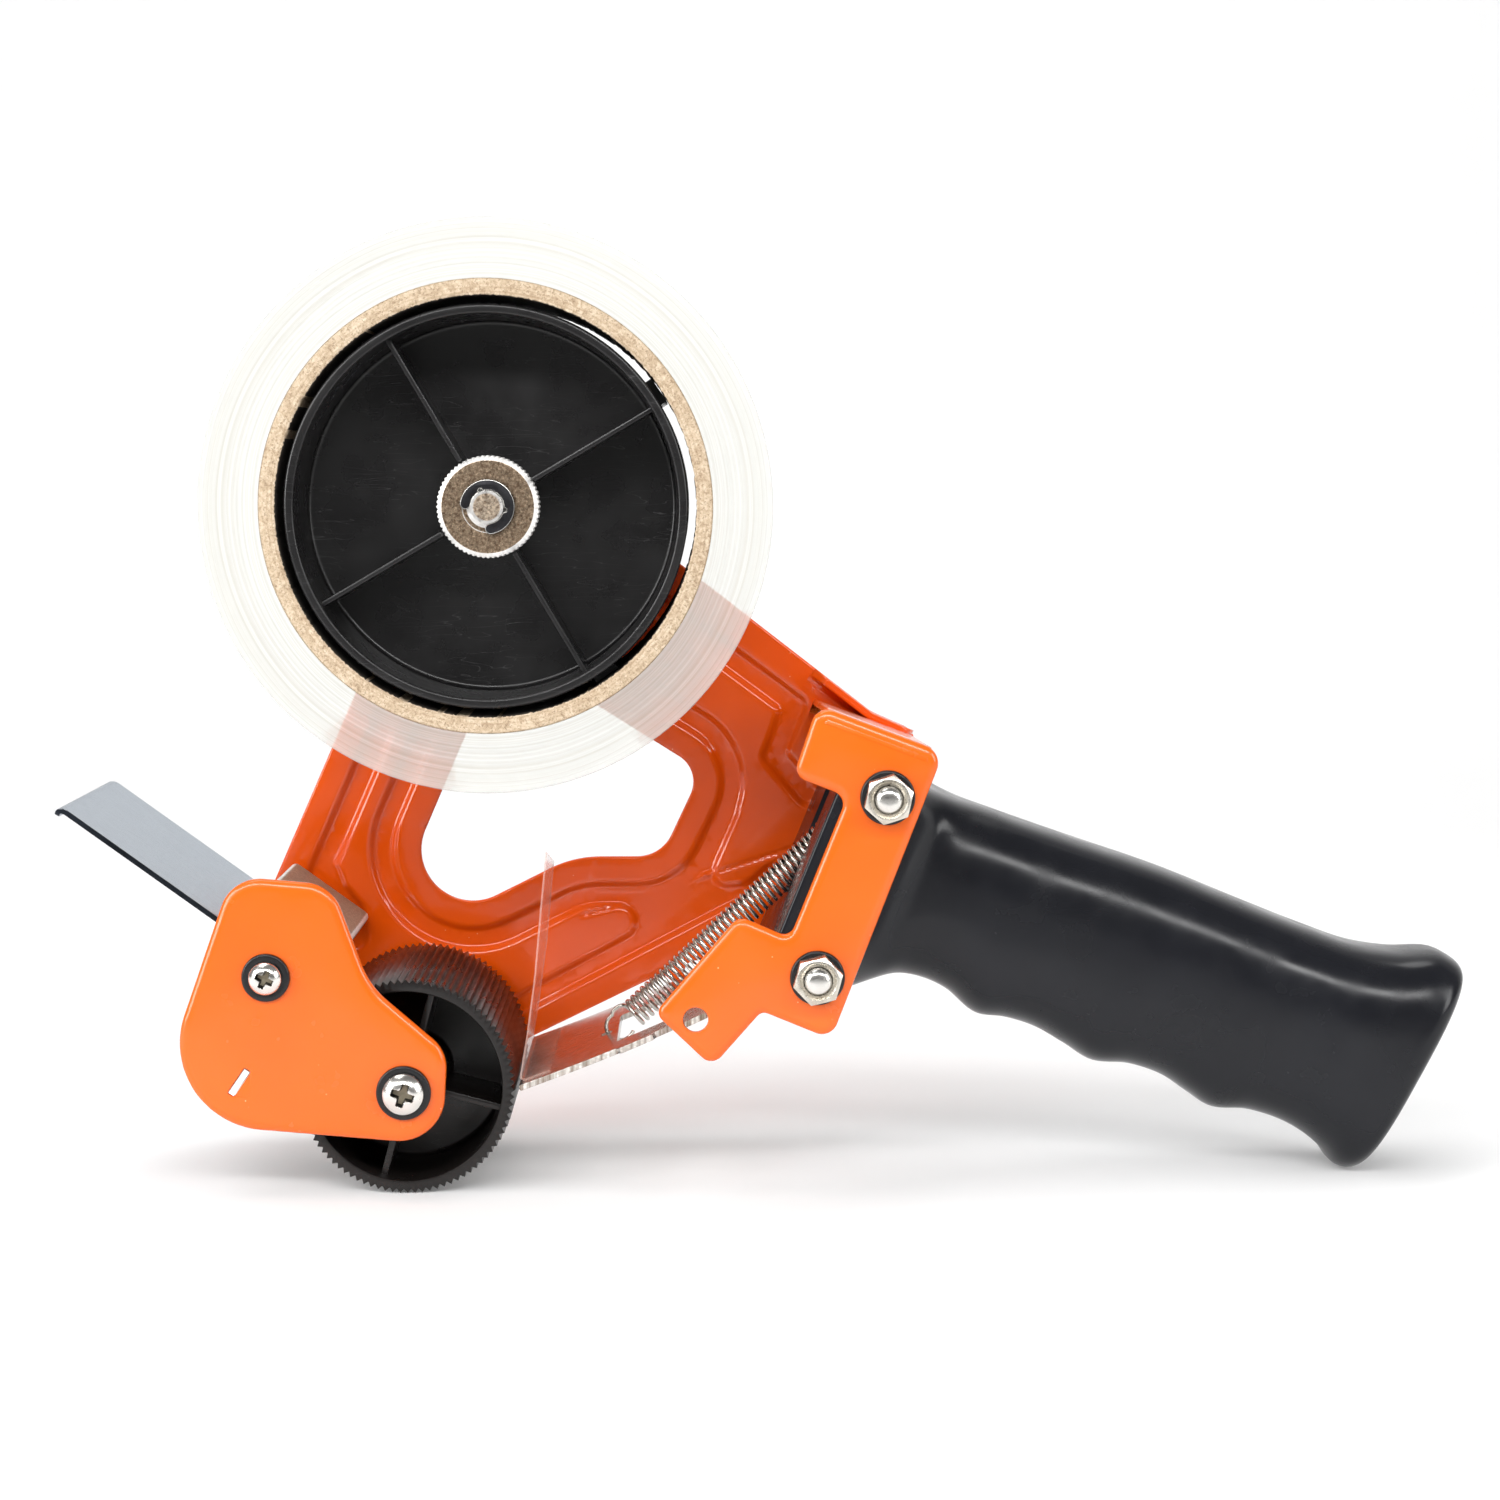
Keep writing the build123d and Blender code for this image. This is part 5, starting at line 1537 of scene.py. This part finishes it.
# ---- studio
CAMERA_PLACE = (-0.013, -0.600, 0.1332)
CAMERA_DIP, CAMERA_TURN = 5.05, 0.904
CAMERA_LENS = 76.03
FLOOR_END, COVE_R, WALL_TOP, FLOOR_HALF = 0.55, 0.6, 3.0, 4.0
WALL_GLOW = 0.145
SKY_STRENGTH = 0.17
FRONT_TONE, BACK_TONE = 0.3, 0.86


def studio():
    """Camera, pale curved floor with a softly glowing far side, and four soft lights."""
    scene = bpy.context.scene
    scene.view_settings.view_transform = "Standard"
    camera = placed("camera", bpy.data.cameras.new("camera"))
    camera.location = CAMERA_PLACE
    camera.rotation_euler = (math.radians(90 - CAMERA_DIP), 0, math.radians(-CAMERA_TURN))
    camera.data.lens = CAMERA_LENS
    camera.data.sensor_width = 36
    camera.data.clip_start = 0.01
    scene.camera = camera

    world = bpy.data.worlds.new("studio")
    scene.world = world
    world.use_nodes = True
    background = world.node_tree.nodes["Background"]
    background.inputs["Color"].default_value = (1.0, 0.99, 0.98, 1)
    background.inputs["Strength"].default_value = SKY_STRENGTH

    cove = np.radians(np.arange(10, 91, 10))
    rows = [(y, 0.0) for y in (-3.0, -1.0, 0.0, FLOOR_END)]
    rows += [(FLOOR_END + COVE_R * math.sin(angle), COVE_R * (1 - math.cos(angle))) for angle in cove]
    rows.append((FLOOR_END + COVE_R, WALL_TOP))
    verts = [(x, y, z) for y, z in rows for x in (-FLOOR_HALF, FLOOR_HALF)]
    faces = [(2 * i, 2 * i + 1, 2 * i + 3, 2 * i + 2) for i in range(len(rows) - 1)]
    mesh = bpy.data.meshes.new("studio_floor")
    mesh.from_pydata(verts, [], faces)
    mesh.polygons.foreach_set("use_smooth", np.ones(len(mesh.polygons), bool))
    floor = placed("studio_floor", mesh)
    card = Finish("studio_card", Roughness=0.9, Specular_IOR_Level=0.1)
    card.shader.inputs["Emission Color"].default_value = (1, 1, 1, 1)
    depth = card.node("ShaderNodeSeparateXYZ", {0: card.place}).outputs["Y"]

    def rising(start, end, low, high):
        """A value that rises smoothly with depth."""
        return card.node("ShaderNodeMapRange", {
            "From Min": start, "From Max": end, "To Min": low, "To Max": high, "Value": depth,
        }, interpolation_type="SMOOTHSTEP").outputs["Result"]

    drift = card.grey(card.noise(6, 2), (0.3, 0), (0.7, 0.03))
    card.colour(card.mix(drift, rising(-0.34, -0.19, FRONT_TONE, BACK_TONE), (0.8, 0.8, 0.8)))
    card.link(rising(-0.2, 0.1, 0.03, WALL_GLOW), card.shader.inputs["Emission Strength"])
    mesh.materials.append(card.material)

    middle = Vector((0.0, 0.0, 0.08))
    for name, place, size, power in (
        ("front_strip", (-0.05, -1.0, 0.72), (1.7, 0.16), 12),
        ("left_box", (-1.05, -0.62, 0.42), (0.5, 0.7), 10),
        ("right_box", (1.05, -0.62, 0.42), (0.45, 0.6), 5),
        ("overhead", (-0.1, 0.1, 1.2), (1.5, 0.5), 7),
    ):
        light = bpy.data.lights.new(name, "AREA")
        light.shape = "RECTANGLE"
        light.size, light.size_y = size
        light.energy = power
        lamp = placed(name, light)
        lamp.location = place
        lamp.rotation_euler = (middle - Vector(place)).to_track_quat("-Z", "Y").to_euler()


studio()
side_frame()
front_plate()
bracket()
handle()
bolts_and_nuts()
end_screws()
tension_spring()
hub()
core()
winding()
brake_nut()
axle_clip()
tension_plate()
guard()
roller()
keep_nodes()
